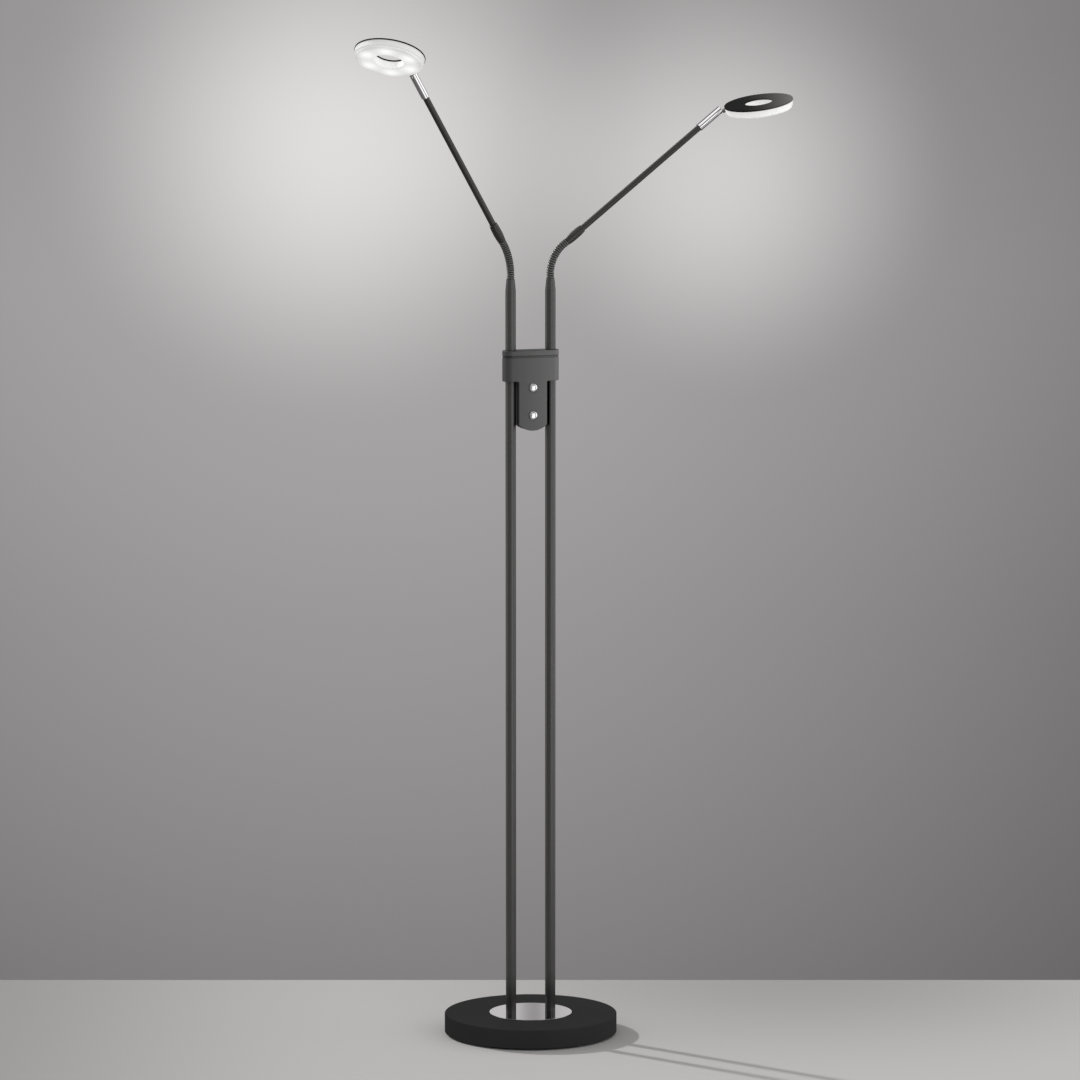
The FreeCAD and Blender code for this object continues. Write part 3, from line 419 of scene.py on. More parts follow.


# Paints shade on the feet and a black shadow in the nook, made metallic there so that the black keeps no gloss
def paintPoleShades():
    tree = finishes["pole_paint"].node_tree
    place = node(tree, "SeparateXYZ", Vector=node(tree, "TexCoord").outputs["Object"]).outputs
    lit = spread(maths("ABSOLUTE", place["X"]), *paintedPoleShades["nookReach"])
    for end in ("nookLow", "nookHigh"):
        lit = maths("MAXIMUM", lit, spread(place["Z"], *paintedPoleShades[end]))
    shadeFinish(spread(place["Z"], *paintedPoleShades["foot"], paintedPoleShades["footShade"], 1))
    shadeFinish(spread(lit, 0, 1, paintedPoleShades["nookShade"], 1, "LINEAR"))
    dress(tree, Metallic=spread(lit, 0, 1, 1, 0, "LINEAR"))


# Paints a reflection on the plates: lighter towards the right
def paintPlateReflection():
    place = node(finishes["head_paint"].node_tree, "TexCoord").outputs["Object"]
    share = spread(measured("DOT_PRODUCT", place, rightward), *paintedPlateReflection["reach"], kind="LINEAR")
    shadeFinish(spread(maths("POWER", share, 2), 0, 1, 1, paintedPlateReflection["lightest"], "LINEAR"))


# Lacquered ribs: the crest attribute makes their tops glossier with a painted highlight, and paints shade into the
# grooves
def ribbedFinish(name, groove, crest, rough, polished):
    made, tree, vector = newFinish(name)
    grain = useGroup(fineGrain, vector, Scale=1700.0, Height=0.08, Rough_Low=rough,
                     Rough_High=rough * 1.2)
    height = node(tree, "Attribute", attribute_name="crest").outputs["Fac"]
    dress(tree, Base_Color=mixed("RGBA", height, [*groove, 1], [*crest, 1]),
          Roughness=mixed("FLOAT", height, grain["Roughness"], polished))
    return made


# Opal cover lit from inside: the glow attribute carries the soft spots of the diodes
def opalFinish(name, colour, dim, bright):
    made, tree, vector = newFinish(name, Base_Color=[*colour, 1], Emission_Strength=1.0)
    useGroup(fineGrain, vector, Scale=300.0, Height=0.008, Rough_Low=0.36, Rough_High=0.46)
    shine = node(tree, "Attribute", attribute_name="glow").outputs["Fac"]
    dress(tree, Emission_Color=ramp(shine, ((0, dim), (1, bright))))
    made.cycles.emission_sampling = "NONE"
    return made


# slot, name, colour, drift, roughness from and to, grain's scale and height, specular level, metallic
plainFinishes = (
    ("base_paint", "matBasePaint", (0.0310, 0.0308, 0.0308), 0.10, 0.72, 0.80, 1500, 0.20, 0.05, 0),
    ("pole_paint", "satinPolePaint", (0.062, 0.061, 0.060), 0.06, 0.26, 0.34, 1700, 0.06, 0.60, 0),
    ("head_paint", "satinHeadPlate", (0.0048, 0.0046, 0.0044), 0.08, 0.42, 0.50, 1600, 0.08, 0.01, 0),
    ("arm_paint", "satinArmPaint", (0.025, 0.0240, 0.0228), 0.12, 0.34, 0.42, 1700, 0.12, 0.50, 0),
    ("iron_weight", "bareCasting", (0.10, 0.10, 0.10), 0.25, 0.55, 0.80, 500, 0.60, 0.50, 0.6),
    ("steel_parts", "zincPlate", (0.50, 0.50, 0.51), 0.06, 0.28, 0.40, 1800, 0.10, 0.50, 1),
    ("rubber_feet", "softRubber", (0.014, 0.014, 0.014), 0.15, 0.70, 0.85, 1200, 0.40, 0.30, 0),
    ("inner_plastic", "whiteMoulding", (0.62, 0.62, 0.60), 0.03, 0.30, 0.40, 1500, 0.05, 0.50, 0),
    ("circuit_board", "solderMask", (0.02, 0.12, 0.05), 0.12, 0.25, 0.40, 700, 0.20, 0.50, 0),
    ("led_board", "whiteBoard", (0.75, 0.75, 0.72), 0.04, 0.35, 0.50, 1100, 0.10, 0.50, 0),
)
finishes = {slot: grainyFinish(*values) for slot, *values in plainFinishes}
finishes.update({
    "neck_paint": ribbedFinish("ribbedNeckPaint", (0.008, 0.008, 0.008), (0.13, 0.12805, 0.1261), 0.5, 0.3),
    "bracket_plastic": mouldedFinish("matBracketShell", (0.054, 0.05319, 0.05319), (0.150, 0.14775, 0.14775),
                                     44 * mm, 0.06),
    "polished_disc": discFinish("mirrorDisc", (
        (-60 * mm, 0.60), (-38 * mm, 0.62), (-20 * mm, 0.54), (-8 * mm, 0.26), (4 * mm, 0.13),
        (14 * mm, 0.20), (28 * mm, 0.44), (60 * mm, 0.60)), 0.05, 0.10),
    "chrome_trim": polishedFinish("brightChrome", (0.80, 0.80, 0.81), 0.07, 0.12),
    "smoked_chrome": polishedFinish("smokedChrome", (0.26, 0.26, 0.265), 0.18, 0.26),
    "button_chrome": polishedFinish("satinButtonChrome", (0.93, 0.93, 0.94), 0.24, 0.32),
    "opal_diffuser": opalFinish("opalCover", (0.60, 0.60, 0.59), (0.12, 0.12, 0.1188), (0.80, 0.80, 0.792)),
})
paintPoleShades()
paintPlateReflection()
slotOf = {part["node"]: part["material_slot"] for part in frame["record"]["subparts"]}


def painted(item, finish):
    item.data.materials.clear()
    item.data.materials.append(finishes[finish])


for name, item in frame["nodes"].items():
    painted(item, slotOf[name])
print("finishes:", len(finishes), "materials for", len(slotOf), "parts")

# Shaping tools, and the steps of round shapes from wide to small
shaping = dict(mergeDistance=2e-6, sharpAngle=38, bevelAngle=30)
steps = dict(wide=192, round=96, pole=72, turned=64, rib=56, screw=48, hole=32)


# A piece's sizes, given in millimetres
def sizesOf(**sizes):
    return {name: size * mm for name, size in sizes.items()}


# Placement whose Z runs along one direction and whose X leans to another
def frameAt(origin, along, across):
    zAxis = along.normalized()
    xAxis = (across - zAxis * across.dot(zAxis)).normalized()
    yAxis = zAxis.cross(xAxis)
    place = Matrix((xAxis, yAxis, zAxis)).transposed().to_4x4()
    place.translation = origin
    return place


def alongY(spot, way=1):
    return frameAt(Vector(spot), Vector((0, way, 0)), Vector((1, 0, 0)))


def upright(spot):
    return Matrix.Translation((spot.x, spot.y, 0))


# Turns a (radius, height) outline about Z; one that starts on the axis also ends there
def lathe(outline, count):
    bm = bmesh.new()
    spots = [bm.verts.new((radius, 0, height)) for radius, height in outline]
    pairs = list(zip(spots, spots[1:]))
    if outline[0][0] > 0:
        pairs.append((spots[-1], spots[0]))
    edges = [bm.edges.new(pair) for pair in pairs]
    bmesh.ops.spin(bm, geom=spots + edges, cent=(0, 0, 0), axis=(0, 0, 1), angle=fullTurn, steps=count,
                   use_merge=True, use_duplicate=False)
    bmesh.ops.remove_doubles(bm, verts=bm.verts, dist=shaping["mergeDistance"])
    bmesh.ops.recalc_face_normals(bm, faces=bm.faces)
    return bm


def tube(inner, outer, low, high, count):
    return lathe([(inner, low), (outer, low), (outer, high), (inner, high)], count)


def rod(radius, low, high, count):
    return tube(0, radius, low, high, count)


def boxShape(low, high):
    bm = bmesh.new()
    bmesh.ops.create_cube(bm, size=1)
    bmesh.ops.scale(bm, vec=Vector(high) - Vector(low), verts=bm.verts)
    bmesh.ops.translate(bm, vec=(Vector(high) + Vector(low)) / 2, verts=bm.verts)
    return bm


# Extrudes flat faces into a closed block
def raised(bm, height):
    grown = bmesh.ops.extrude_face_region(bm, geom=list(bm.faces))
    tops = [item for item in grown["geom"] if isinstance(item, bmesh.types.BMVert)]
    bmesh.ops.translate(bm, vec=(0, 0, height), verts=tops)
    bmesh.ops.recalc_face_normals(bm, faces=bm.faces)
    return bm


# Bevels the edges that are sharper than an angle and whose two ends a test chooses
def soften(bm, width, segments=3, sharpest=shaping["bevelAngle"], where=lambda spot: True):
    edges = [edge for edge in bm.edges if len(edge.link_faces) == 2
             and degrees(edge.calc_face_angle()) > sharpest and all(where(spot.co) for spot in edge.verts)]
    bmesh.ops.bevel(bm, geom=edges, offset=width, offset_type="OFFSET", segments=segments, profile=0.5,
                    affect="EDGES", clamp_overlap=True, material=-1)
    return bm


# Points of an arc in an outline; angles in degrees from the first axis
def arcPoints(centre, radius, start, end, count):
    turns = [radians(start + (end - start) * index / count) for index in range(count + 1)]
    return [(centre[0] + radius * cos(turn), centre[1] + radius * sin(turn)) for turn in turns]


# Points between two corners of an outline, without the corners
def between(start, end, count):
    shares = [index / (count + 1) for index in range(1, count + 1)]
    return [(start[0] + (end[0] - start[0]) * share, start[1] + (end[1] - start[1]) * share)
            for share in shares]


# Evenly spaced spots on a circle
def ring(count, radius, first):
    turns = [fullTurn * (index + first) / count for index in range(count)]
    return [Vector((radius * cos(turn), radius * sin(turn), 0)) for turn in turns]


# Smooth faces with sharp edges kept where the surface turns hard
def shadeSmooth(bm):
    sharp = radians(shaping["sharpAngle"])
    for face in bm.faces:
        face.smooth = True
    for edge in bm.edges:
        edge.smooth = len(edge.link_faces) != 2 or edge.calc_face_angle() < sharp


def meshObject(name, bm, place=Matrix()):
    bmesh.ops.transform(bm, matrix=place, verts=bm.verts)
    shadeSmooth(bm)
    return placed(name, heldMesh(name, bm))


def cutter(bm, place=Matrix()):
    return meshObject("cutter", bm, place)


# Gives a piece its finish, its body and the part that it stands for
def settle(item, slot, body, replaced, finish=None):
    painted(item, finish or slot)
    shade = item.modifiers.new("evenShade", "WEIGHTED_NORMAL")
    shade.keep_sharp = True
    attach(item, body)
    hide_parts(replaced)
    return item


def piece(name, bm, slot, body, replaced, place=Matrix(), finish=None):
    return settle(meshObject(name, bm, place), slot, body, replaced, finish)


# Cuts or joins an object with others, which are used up, and keeps the result as its mesh
def carve(item, tools, operation="DIFFERENCE"):
    for tool in tools:
        modifier = item.modifiers.new("carve", "BOOLEAN")
        modifier.operation = operation
        modifier.solver = "EXACT"
        modifier.object = tool
    bpy.context.view_layer.update()
    shaped = bpy.data.meshes.new_from_object(item.evaluated_get(bpy.context.evaluated_depsgraph_get()))
    item.modifiers.clear()
    for tool in tools:
        bpy.data.objects.remove(tool)
    bm = bmesh.new()
    bm.from_mesh(shaped)
    bmesh.ops.remove_doubles(bm, verts=bm.verts, dist=shaping["mergeDistance"])
    shadeSmooth(bm)
    bm.to_mesh(shaped)
    bm.free()
    item.data = shaped
    return item


# Keeps a value for each point of a piece, which its finish reads
def keepValues(item, name, valueAt):
    values = [valueAt(point.co) for point in item.data.vertices]
    item.data.attributes.new(name, "FLOAT", "POINT").data.foreach_set("value", values)


# Base
base = sizesOf(
    radius=125, top=30, foot=3, wall=2.5, roof=2, rimRound=1.6, openRadius=48, edge=0.4,
    discRadius=60, discGap=0.15, discSunk=1.2, discThick=2, discBevel=0.5,
    padRadius=9, padCircle=104, padEdge=0.8,
    inletHeight=13, inletRadius=4.5, inletStart=120.4, inletFlange=6.5, inletInner=5.9, inletLip=1.8,
    inletBore=2.8, inletGap=0.3, inletEdge=0.25)
base.update(pads=5, padFirst=0.25)
pole = sizesOf(radius=7.5, wall=1.2, fit=0.05, seat=14, edge=0.15)
poleSpots = {side: Vector(joints[side + "_neck_turn"]["pos_m"]) for side in sides}


def poleCutters(high):
    reach = pole["radius"] + pole["fit"]
    return [cutter(rod(reach, 0, high, steps["pole"]), upright(spot)) for spot in poleSpots.values()]


def makeBaseCover():
    top, sunk = base["top"], base["top"] - base["discSunk"]
    under = sunk - base["roof"]
    inner = base["radius"] - base["wall"]
    edge = base["discRadius"] + base["discGap"]
    cover = lathe([(base["radius"], base["foot"]), (base["radius"], top), (edge, top), (edge, sunk),
                   (base["openRadius"], sunk), (base["openRadius"], under), (inner, under),
                   (inner, base["foot"])], steps["wide"])
    rim = base["radius"] - base["edge"]
    soften(cover, base["rimRound"], 6, where=lambda spot: spot.z > top - tiny and spot.xy.length > rim)
    soften(cover, base["edge"], 2, 40)
    inlet = cutter(rod(base["inletRadius"], 0, 4 * base["wall"], steps["turned"]),
                   alongY((0, base["radius"] - 2 * base["wall"], base["inletHeight"])))
    shell = carve(meshObject("baseCover", cover), [inlet])
    return settle(shell, "base_paint", "stand", "base_cover")


# Keeps the poles' hard shadows off the matt cover
def spareFromSun(item):
    spared = bpy.data.collections.new("sparedBySun")
    spared.objects.link(item)
    bpy.data.objects["keySun"].light_linking.receiver_collection = spared
    for member in spared.collection_objects:
        member.light_linking.link_state = "EXCLUDE"


def makeBaseDisc():
    sunk = base["top"] - base["discSunk"]
    high = sunk + base["discThick"]
    plate = rod(base["discRadius"], sunk, high, steps["wide"])
    soften(plate, base["discBevel"], where=lambda spot: spot.z > high - tiny)
    disc = carve(meshObject("baseDisc", plate), poleCutters(2 * base["top"]))
    settle(disc, "polished_disc", "stand", "base_disc")


# One foot in the middle and a ring of feet
def makeFeet():
    feet = bmesh.new()
    for spot in [Vector((0, 0, 0))] + ring(base["pads"], base["padCircle"], base["padFirst"]):
        foot = soften(rod(base["padRadius"], 0, base["foot"], steps["screw"]), base["padEdge"], 4)
        bmesh.ops.transform(foot, matrix=upright(spot), verts=foot.verts)
        spare = heldMesh("spare", foot)
        feet.from_mesh(spare)
        bpy.data.meshes.remove(spare)
    piece("rubberFeet", feet, "rubber_feet", "stand", "base_feet")


# Bush in the back of the cover, empty
def makeInletBush():
    bore, neckRadius, lip = base["inletBore"], base["inletRadius"], base["inletLip"]
    outside = lip + base["wall"] + base["inletGap"]
    bush = lathe([(bore, 0), (base["inletInner"], 0), (base["inletInner"], lip), (neckRadius, lip),
                  (neckRadius, outside), (base["inletFlange"], outside), (neckRadius, outside + lip),
                  (bore, outside + lip)], steps["turned"])
    soften(bush, base["inletEdge"], 2, 25)
    piece("inletBush", bush, "rubber_feet", "stand", "cable_grommet",
          alongY((0, base["inletStart"], base["inletHeight"])))


spareFromSun(makeBaseCover())
makeBaseDisc()
makeFeet()
makeInletBush()

# Poles and the cones on top of them
cone = sizesOf(collar=1.2, height=17.8, topRadius=5.9, bore=4.55, edge=0.25, inside=15, wireBore=2.3,
               boreDepth=8.2)


def makePoles():
    radius, spigot = pole["radius"], pole["radius"] - pole["wall"]
    for side, spot in poleSpots.items():
        top = spot.z
        high = top - cone["height"]
        shaft = soften(tube(spigot, radius, pole["seat"], high, steps["pole"]), pole["edge"], 2)
        piece(side + "Pole", shaft, "pole_paint", "stand", "pole_" + side, upright(spot))
        ferrule = lathe([
            (cone["wireBore"], high - cone["inside"]), (spigot, high - cone["inside"]), (spigot, high),
            (radius, high), (radius, high + cone["collar"]), (cone["topRadius"], top), (cone["bore"], top),
            (cone["bore"], top - cone["boreDepth"]), (cone["wireBore"], top - cone["boreDepth"])],
            steps["pole"])
        soften(ferrule, cone["edge"], 2, 25)
        piece(side + "PoleCone", ferrule, "pole_paint", "stand", "pole_ferrule_" + side, upright(spot))


makePoles()
print("base and poles: done")

# Bracket: band with a tab below it, cap, back cover and screws
bracket = sizesOf(
    depth=24, low=953, seam=986.7, capLow=990, top=997.5, seamDepth=0.5, bandEdge=1.2, seamEdge=0.3,
    capRound=1.0, capOverlap=1, tabHalf=21, tabCorner=890.5, tabLow=882, tabEdge=1.5, tabCornerRound=1.2,
    flare=2, tabInBand=960, cavityHalf=16, cavityLow=896.5, cavityTop=964, frontWall=2.5,
    backHalf=17, backLow=889.5, backTop=974.5, backThick=2, backGap=0.1, backEdge=0.25,
    screwInset=3.5, screwHead=2.5, screwCone=1.2, screwShank=1.4, screwLength=7, keySize=1.3,
    keyDepth=0.8, grubHeight=970, grubRadius=2, grubLength=4)
bracket["endSteps"] = 64
# How much painted shade the bracket's crevices get, from 0 to 1, and where the painted shade on the tab's sides
# starts
paintedBracketShades = dict(seam=0.55, tabSide=1, capTop=0.9, waist=0.15, capEdge=0.6, sideMargin=0.3 * mm,
                sideStart=0.9 * mm)
button = sizesOf(radius=6, hole=6.6, flare=0.45, over=1, proud=1, crown=1.5, flange=7.2, flangeThick=1,
                 flangeGap=0.2, plunger=2, plungerLength=3.8, edge=0.3)
button["flareBend"] = (0.3, 0.35)
buttonHeights = sizesOf(upper=944, lower=904)
halfDepth = bracket["depth"] / 2


# Slab with round ends about the poles, inset from the band's outline
def bandSlab(inset, low, high):
    half = pi / bracket["endSteps"]
    bm = bmesh.new()
    bmesh.ops.create_circle(bm, cap_ends=True, segments=bracket["endSteps"],
                            radius=(halfDepth - inset) / cos(half))
    bmesh.ops.rotate(bm, cent=(0, 0, 0), matrix=Matrix.Rotation(half, 3, "Z"), verts=bm.verts)
    for spot in bm.verts:
        spot.co.x += copysign(poleSpots["right"].x, spot.co.x)
        spot.co.z = low
    return raised(bm, high - low)


# The tab lies flat here, with its height along Y
def tabShape():
    half, flare, low = bracket["tabHalf"], bracket["flare"], bracket["low"]
    rightSide = [(half + flare, bracket["tabInBand"])]
    rightSide += arcPoints((half + flare, low - flare), flare, 90, 180, 6)
    rightSide.append((half, bracket["tabCorner"]))
    sag = bracket["tabCorner"] - bracket["tabLow"]
    radius = (half ** 2 + sag ** 2) / (2 * sag)
    span = degrees(asin(half / radius))
    bottom = arcPoints((0, bracket["tabLow"] + radius), radius, 270 + span, 270 - span, 32)[1:-1]
    leftSide = [(-x, y) for x, y in reversed(rightSide)]
    bm = bmesh.new()
    bm.faces.new([bm.verts.new((x, y, -halfDepth)) for x, y in rightSide + bottom + leftSide])
    raised(bm, bracket["depth"])
    soften(bm, bracket["tabCornerRound"], 4, where=lambda spot: abs(spot.y - bracket["tabCorner"]) < tiny)
    return soften(bm, bracket["tabEdge"], 5, 60)


# Box as far to the left as to the right
def middleBox(half, start, end, low, high):
    return boxShape((-half, start, low), (half, end, high))


def buttonHole():
    hole, flare, over = button["hole"], button["flare"], button["over"]
    depth = 2 * bracket["frontWall"]
    out, down = button["flareBend"]
    return lathe([(0, -over), (hole + flare + over, -over), (hole + flare, 0),
                  (hole + flare * out, flare * down), (hole, flare), (hole, depth), (0, depth)],
                 steps["round"])


# Painted shade on the housing: its seam, and the tab's sides behind their rounded front edge
def housingPaintedShade(spot):
    if spot.z > bracket["seam"] - bracket["seamEdge"] / 2:
        return paintedBracketShades["seam"]
    beside = abs(spot.x) > bracket["tabHalf"] - paintedBracketShades["sideMargin"] and spot.z < bracket["low"] - tiny
    return paintedBracketShades["tabSide"] if beside and spot.y > paintedBracketShades["sideStart"] - halfDepth else 0


def makeHousing():
    band = bandSlab(0, bracket["low"], bracket["seam"])
    soften(band, bracket["bandEdge"], 4, where=lambda spot: spot.z < bracket["low"] + tiny)
    soften(band, bracket["seamEdge"], 2, 60)
    housing = meshObject("bracketHousing", band)
    carve(housing, [cutter(tabShape(), Matrix.Rotation(pi / 2, 4, "X"))], "UNION")
    cavity = middleBox(bracket["cavityHalf"], bracket["frontWall"] - halfDepth, 2 * halfDepth,
                       bracket["cavityLow"], bracket["cavityTop"])
    recess = middleBox(bracket["backHalf"], halfDepth - bracket["backThick"], 2 * halfDepth,
                       bracket["backLow"], bracket["backTop"])
    cutters = poleCutters(bracket["top"]) + [cutter(cavity), cutter(recess)]
    for height in buttonHeights.values():
        cutters.append(cutter(buttonHole(), alongY((0, -halfDepth, height))))
    for spot in poleSpots.values():
        cutters.append(cutter(rod(bracket["grubRadius"], 0, halfDepth, steps["hole"]),
                              alongY((spot.x, halfDepth / 2, bracket["grubHeight"]))))
    carve(housing, cutters)
    keepValues(housing, "paintedCreviceShade", housingPaintedShade)
    settle(housing, "bracket_plastic", "stand", "bracket_housing")


# Painted shade on the cap: its top, its waist and its lower edge
def capPaintedShade(spot):
    if spot.z > bracket["top"] - bracket["capRound"] / 4:
        return paintedBracketShades["capTop"]
    if spot.z < bracket["capLow"] - tiny:
        return paintedBracketShades["waist"]
    return paintedBracketShades["capEdge"] if spot.z < bracket["capLow"] + bracket["seamEdge"] / 2 else 0


def makeCap():
    crown = bandSlab(0, bracket["capLow"], bracket["top"])
    soften(crown, bracket["capRound"], 5, where=lambda spot: spot.z > bracket["top"] - tiny)
    soften(crown, bracket["seamEdge"], 2, 60)
    waist = bandSlab(bracket["seamDepth"], bracket["seam"], bracket["capLow"] + bracket["capOverlap"])
    cap = carve(meshObject("bracketCap", crown), [cutter(waist)], "UNION")
    carve(cap, poleCutters(2 * bracket["top"]))
    keepValues(cap, "paintedCreviceShade", capPaintedShade)
    settle(cap, "bracket_plastic", "stand", "bracket_cap")


# Screws as one piece, with a six-sided key hole in each top
def makeScrews(name, replaced, outline, count, places, size, depth):
    screws = []
    for place in places:
        key = bmesh.new()
        bmesh.ops.create_cone(key, cap_ends=True, cap_tris=False, segments=6, radius1=size, radius2=size,
                              depth=2 * depth)
        hole = cutter(key, place @ Matrix.Translation((0, 0, outline[-1][1])))
        screws.append(carve(meshObject(name, lathe(outline, count), place), [hole]))
    settle(carve(screws[0], screws[1:], "UNION"), "steel_parts", "stand", replaced)


def makeBackCover():
    gap, shank, top = bracket["backGap"], bracket["screwShank"], bracket["screwCone"]
    plate = middleBox(bracket["backHalf"] - gap, halfDepth - bracket["backThick"], halfDepth,
                      bracket["backLow"] + gap, bracket["backTop"] - gap)
    cover = meshObject("bracketBack", soften(plate, bracket["backEdge"], 2))
    inset, low = gap + bracket["screwInset"], top - bracket["screwLength"]
    outline = [(0, low), (shank, low), (shank, 0), (bracket["screwHead"], top), (0, top)]
    grown = [(0, low), (shank + gap / 2, low), (shank + gap / 2, 0),
             (bracket["screwHead"] + gap / 2 + gap, top + gap), (0, top + gap)]
    places = [alongY((0, halfDepth - top, height))
              for height in (bracket["backLow"] + inset, bracket["backTop"] - inset)]
    carve(cover, [cutter(lathe(grown, steps["screw"]), place) for place in places])
    settle(cover, "bracket_plastic", "stand", "bracket_back")
    makeScrews("backScrew", "bracket_screws", outline, steps["screw"], places, bracket["keySize"],
               bracket["keyDepth"])


def makeGrubScrews():
    radius, length = bracket["grubRadius"], bracket["grubLength"]
    places = [alongY((spot.x, pole["radius"], bracket["grubHeight"])) for spot in poleSpots.values()]
    outline = [(0, 0), (radius, 0), (radius, length), (0, length)]
    makeScrews("poleGrubScrew", "pole_grub_screws", outline, steps["hole"], places, radius / 2, length / 2)


def makeButtons():
    seat = bracket["frontWall"] + button["flangeGap"]
    rim = seat + button["proud"]
    dome = (button["radius"] ** 2 + button["crown"] ** 2) / (2 * button["crown"])
    start = degrees(acos(button["radius"] / dome))
    under = -button["flangeThick"]
    back = under - button["plungerLength"]
    outline = [(0, back), (button["plunger"], back), (button["plunger"], under), (button["flange"], under),
               (button["flange"], 0), (button["radius"], 0)]
    outline += arcPoints((0, rim + button["crown"] - dome), dome, start, 90, 12)
    outline[-1] = (0, rim + button["crown"])
    for name, height in buttonHeights.items():
        cap = soften(lathe(outline, steps["round"]), button["edge"], 3, 35)
        piece(name + "Button", cap, "chrome_trim", "button_" + name, "button_" + name,
              alongY((0, seat - halfDepth, height), -1), "button_chrome")


makeHousing()
makeCap()
makeBackCover()
makeGrubScrews()
makeButtons()
print("bracket: done")

# Flexible necks
neck = sizesOf(length=10, root=4.75, crest=5.6, endGap=0.52, firstGap=0.2, ball=3.9, socket=4.0, bore=2.3,
               spigot=4.5, spigotLength=8)
neck.update(links=6, ribs=3, crispness=0.62, ribPoints=12, ballPoints=10, wearShape=1.6)


def ribRadius(height):
    wave = 0.5 - 0.5 * cos(fullTurn * height * neck["ribs"] / neck["length"])
    return neck["root"] + (neck["crest"] - neck["root"]) * wave ** neck["crispness"]


# One length of the neck: socket or spigot below, three ribs, ball or spigot above
def linkShape(first, last):
    bore, length, spigot, socket = neck["bore"], neck["length"], neck["spigot"], neck["socket"]
    low = neck["firstGap"] if first else neck["endGap"]
    high = length - neck["endGap"]
    if first:
        outline = [(bore, -neck["spigotLength"]), (spigot, -neck["spigotLength"]), (spigot, low)]
    else:
        start, end = degrees(acos(bore / socket)), degrees(asin(low / socket))
        outline = arcPoints((0, 0), socket, start, end, neck["ballPoints"])
    count = neck["ribs"] * neck["ribPoints"]
    heights = [low + (high - low) * index / count for index in range(count + 1)]
    outline += [(ribRadius(height), height) for height in heights]
    if last:
        tip = length + neck["spigotLength"]
        outline += [(spigot, high), (spigot, tip), (bore, tip)]
    else:
        start = degrees(-asin(neck["endGap"] / neck["ball"]))
        end = degrees(acos(bore / neck["ball"]))
        outline += arcPoints((0, length), neck["ball"], start, end, neck["ballPoints"])
    return lathe(outline, steps["rib"])


# Leans a length so that its ends meet its neighbours' in one curve
def leanLink(bm, startSlope, endSlope):
    length = neck["length"]
    for spot in bm.verts:
        x, y, z = spot.co
        share = min(max(z / length, 0), 1)
        over = z - share * length
        slide = length * (startSlope * share * (1 - share) ** 2 - endSlope * share ** 2 * (1 - share))
        slope = startSlope * (1 - 4 * share + 3 * share ** 2) + endSlope * (3 * share ** 2 - 2 * share)
        lean = atan(slope)
        spot.co = (slide + over * sin(lean) + x * cos(lean), y,
                   share * length + over * cos(lean) - x * sin(lean))


# The places along each arm, from the joints
def armPlaces(side, roll):
    bends = [joints["%s_neck_bend%s" % (side, "" if number == 1 else "_%d" % number)]
             for number in range(1, neck["links"])]
    bendAxis = Vector(bends[0]["axis"])
    armAxis = Vector(joints[side + "_sleeve_turn"]["axis"])
    tiltAxis = Vector(joints[side + "_head_tilt"]["axis"])
    stem = Vector(joints[side + "_head_roll"]["axis"])
    starts = [poleSpots[side]] + [Vector(bend["pos_m"]) for bend in bends]
    starts.append(starts[-1] + armAxis * neck["length"])
    axes = [(after - before).normalized() for before, after in zip(starts, starts[1:])]
    pivot = Vector(joints[side + "_sleeve_turn"]["pos_m"])
    flat = stem.cross(tiltAxis)
    normal = flat * cos(roll) + stem.cross(flat) * sin(roll)
    return {
        "links": [frameAt(start, axis, bendAxis.cross(axis)) for start, axis in zip(starts, axes)],
        "bend": axes[0].angle(axes[1]),
        "arm": frameAt(starts[-1], armAxis, bendAxis.cross(armAxis)),
        "sleeve": frameAt(pivot, armAxis, tiltAxis.cross(armAxis)),
        "ball": frameAt(pivot, stem, -flat),
        "stem": frameAt(pivot, stem, -normal),
        "head": frameAt(pivot + stem * head["reach"], normal, stem),
    }


# How high on its rib a point is, from 0 in the groove to 1, weighted towards the top; it sets the ribs' painted
# highlight and shade
def ribShadeAt(spot):
    rise = (spot.xy.length - neck["root"]) / (neck["crest"] - neck["root"])
    return min(max(rise, 0), 1) ** neck["wearShape"]


def makeNeck(side, places):
    slope = tan(places["bend"] / 2)
    for number, place in enumerate(places["links"], start=1):
        first, last = number == 1, number == neck["links"]
        link = linkShape(first, last)
        crest = link.verts.layers.float.new("crest")
        for spot in link.verts:
            spot[crest] = ribShadeAt(spot.co)
        leanLink(link, 0 if first else -slope, 0 if last else slope)
        body = side + "_arm" if last else "%s_neck_%d" % (side, number)
        piece("%sNeck%d" % (side, number), link, "pole_paint", body, "neck_%s_%d" % (side, number), place,
              "neck_paint")


# Arms: barrel and tube
arm = sizesOf(barrelLength=30.5, barrelEnd=5.6, barrelMiddle=6.6, barrelEdge=0.35,
              tubeRadius=4.5, tubeWall=1, tubeLow=10, tubeTop=272.5, tubeFit=0.02)
arm["barrelPoints"] = 24


def makeArm(side, places):
    length, rise = arm["barrelLength"], arm["barrelMiddle"] - arm["barrelEnd"]
    radius = ((length / 2) ** 2 + rise ** 2) / (2 * rise)
    span = degrees(asin(length / 2 / radius))
    inner = arm["tubeRadius"] + arm["tubeFit"]
    bulge = arcPoints((arm["barrelMiddle"] - radius, length / 2), radius, -span, span, arm["barrelPoints"])
    barrel = lathe([(inner, 0)] + bulge + [(inner, length)], steps["turned"])
    piece(side + "ArmBarrel", soften(barrel, arm["barrelEdge"], 3, 60), "pole_paint", side + "_arm",
          "arm_ferrule_" + side, places["arm"], "arm_paint")
    pipe = tube(arm["tubeRadius"] - arm["tubeWall"], arm["tubeRadius"], arm["tubeLow"], arm["tubeTop"],
                steps["turned"])
    piece(side + "ArmTube", pipe, "pole_paint", side + "_arm", "arm_tube_" + side, places["arm"], "arm_paint")


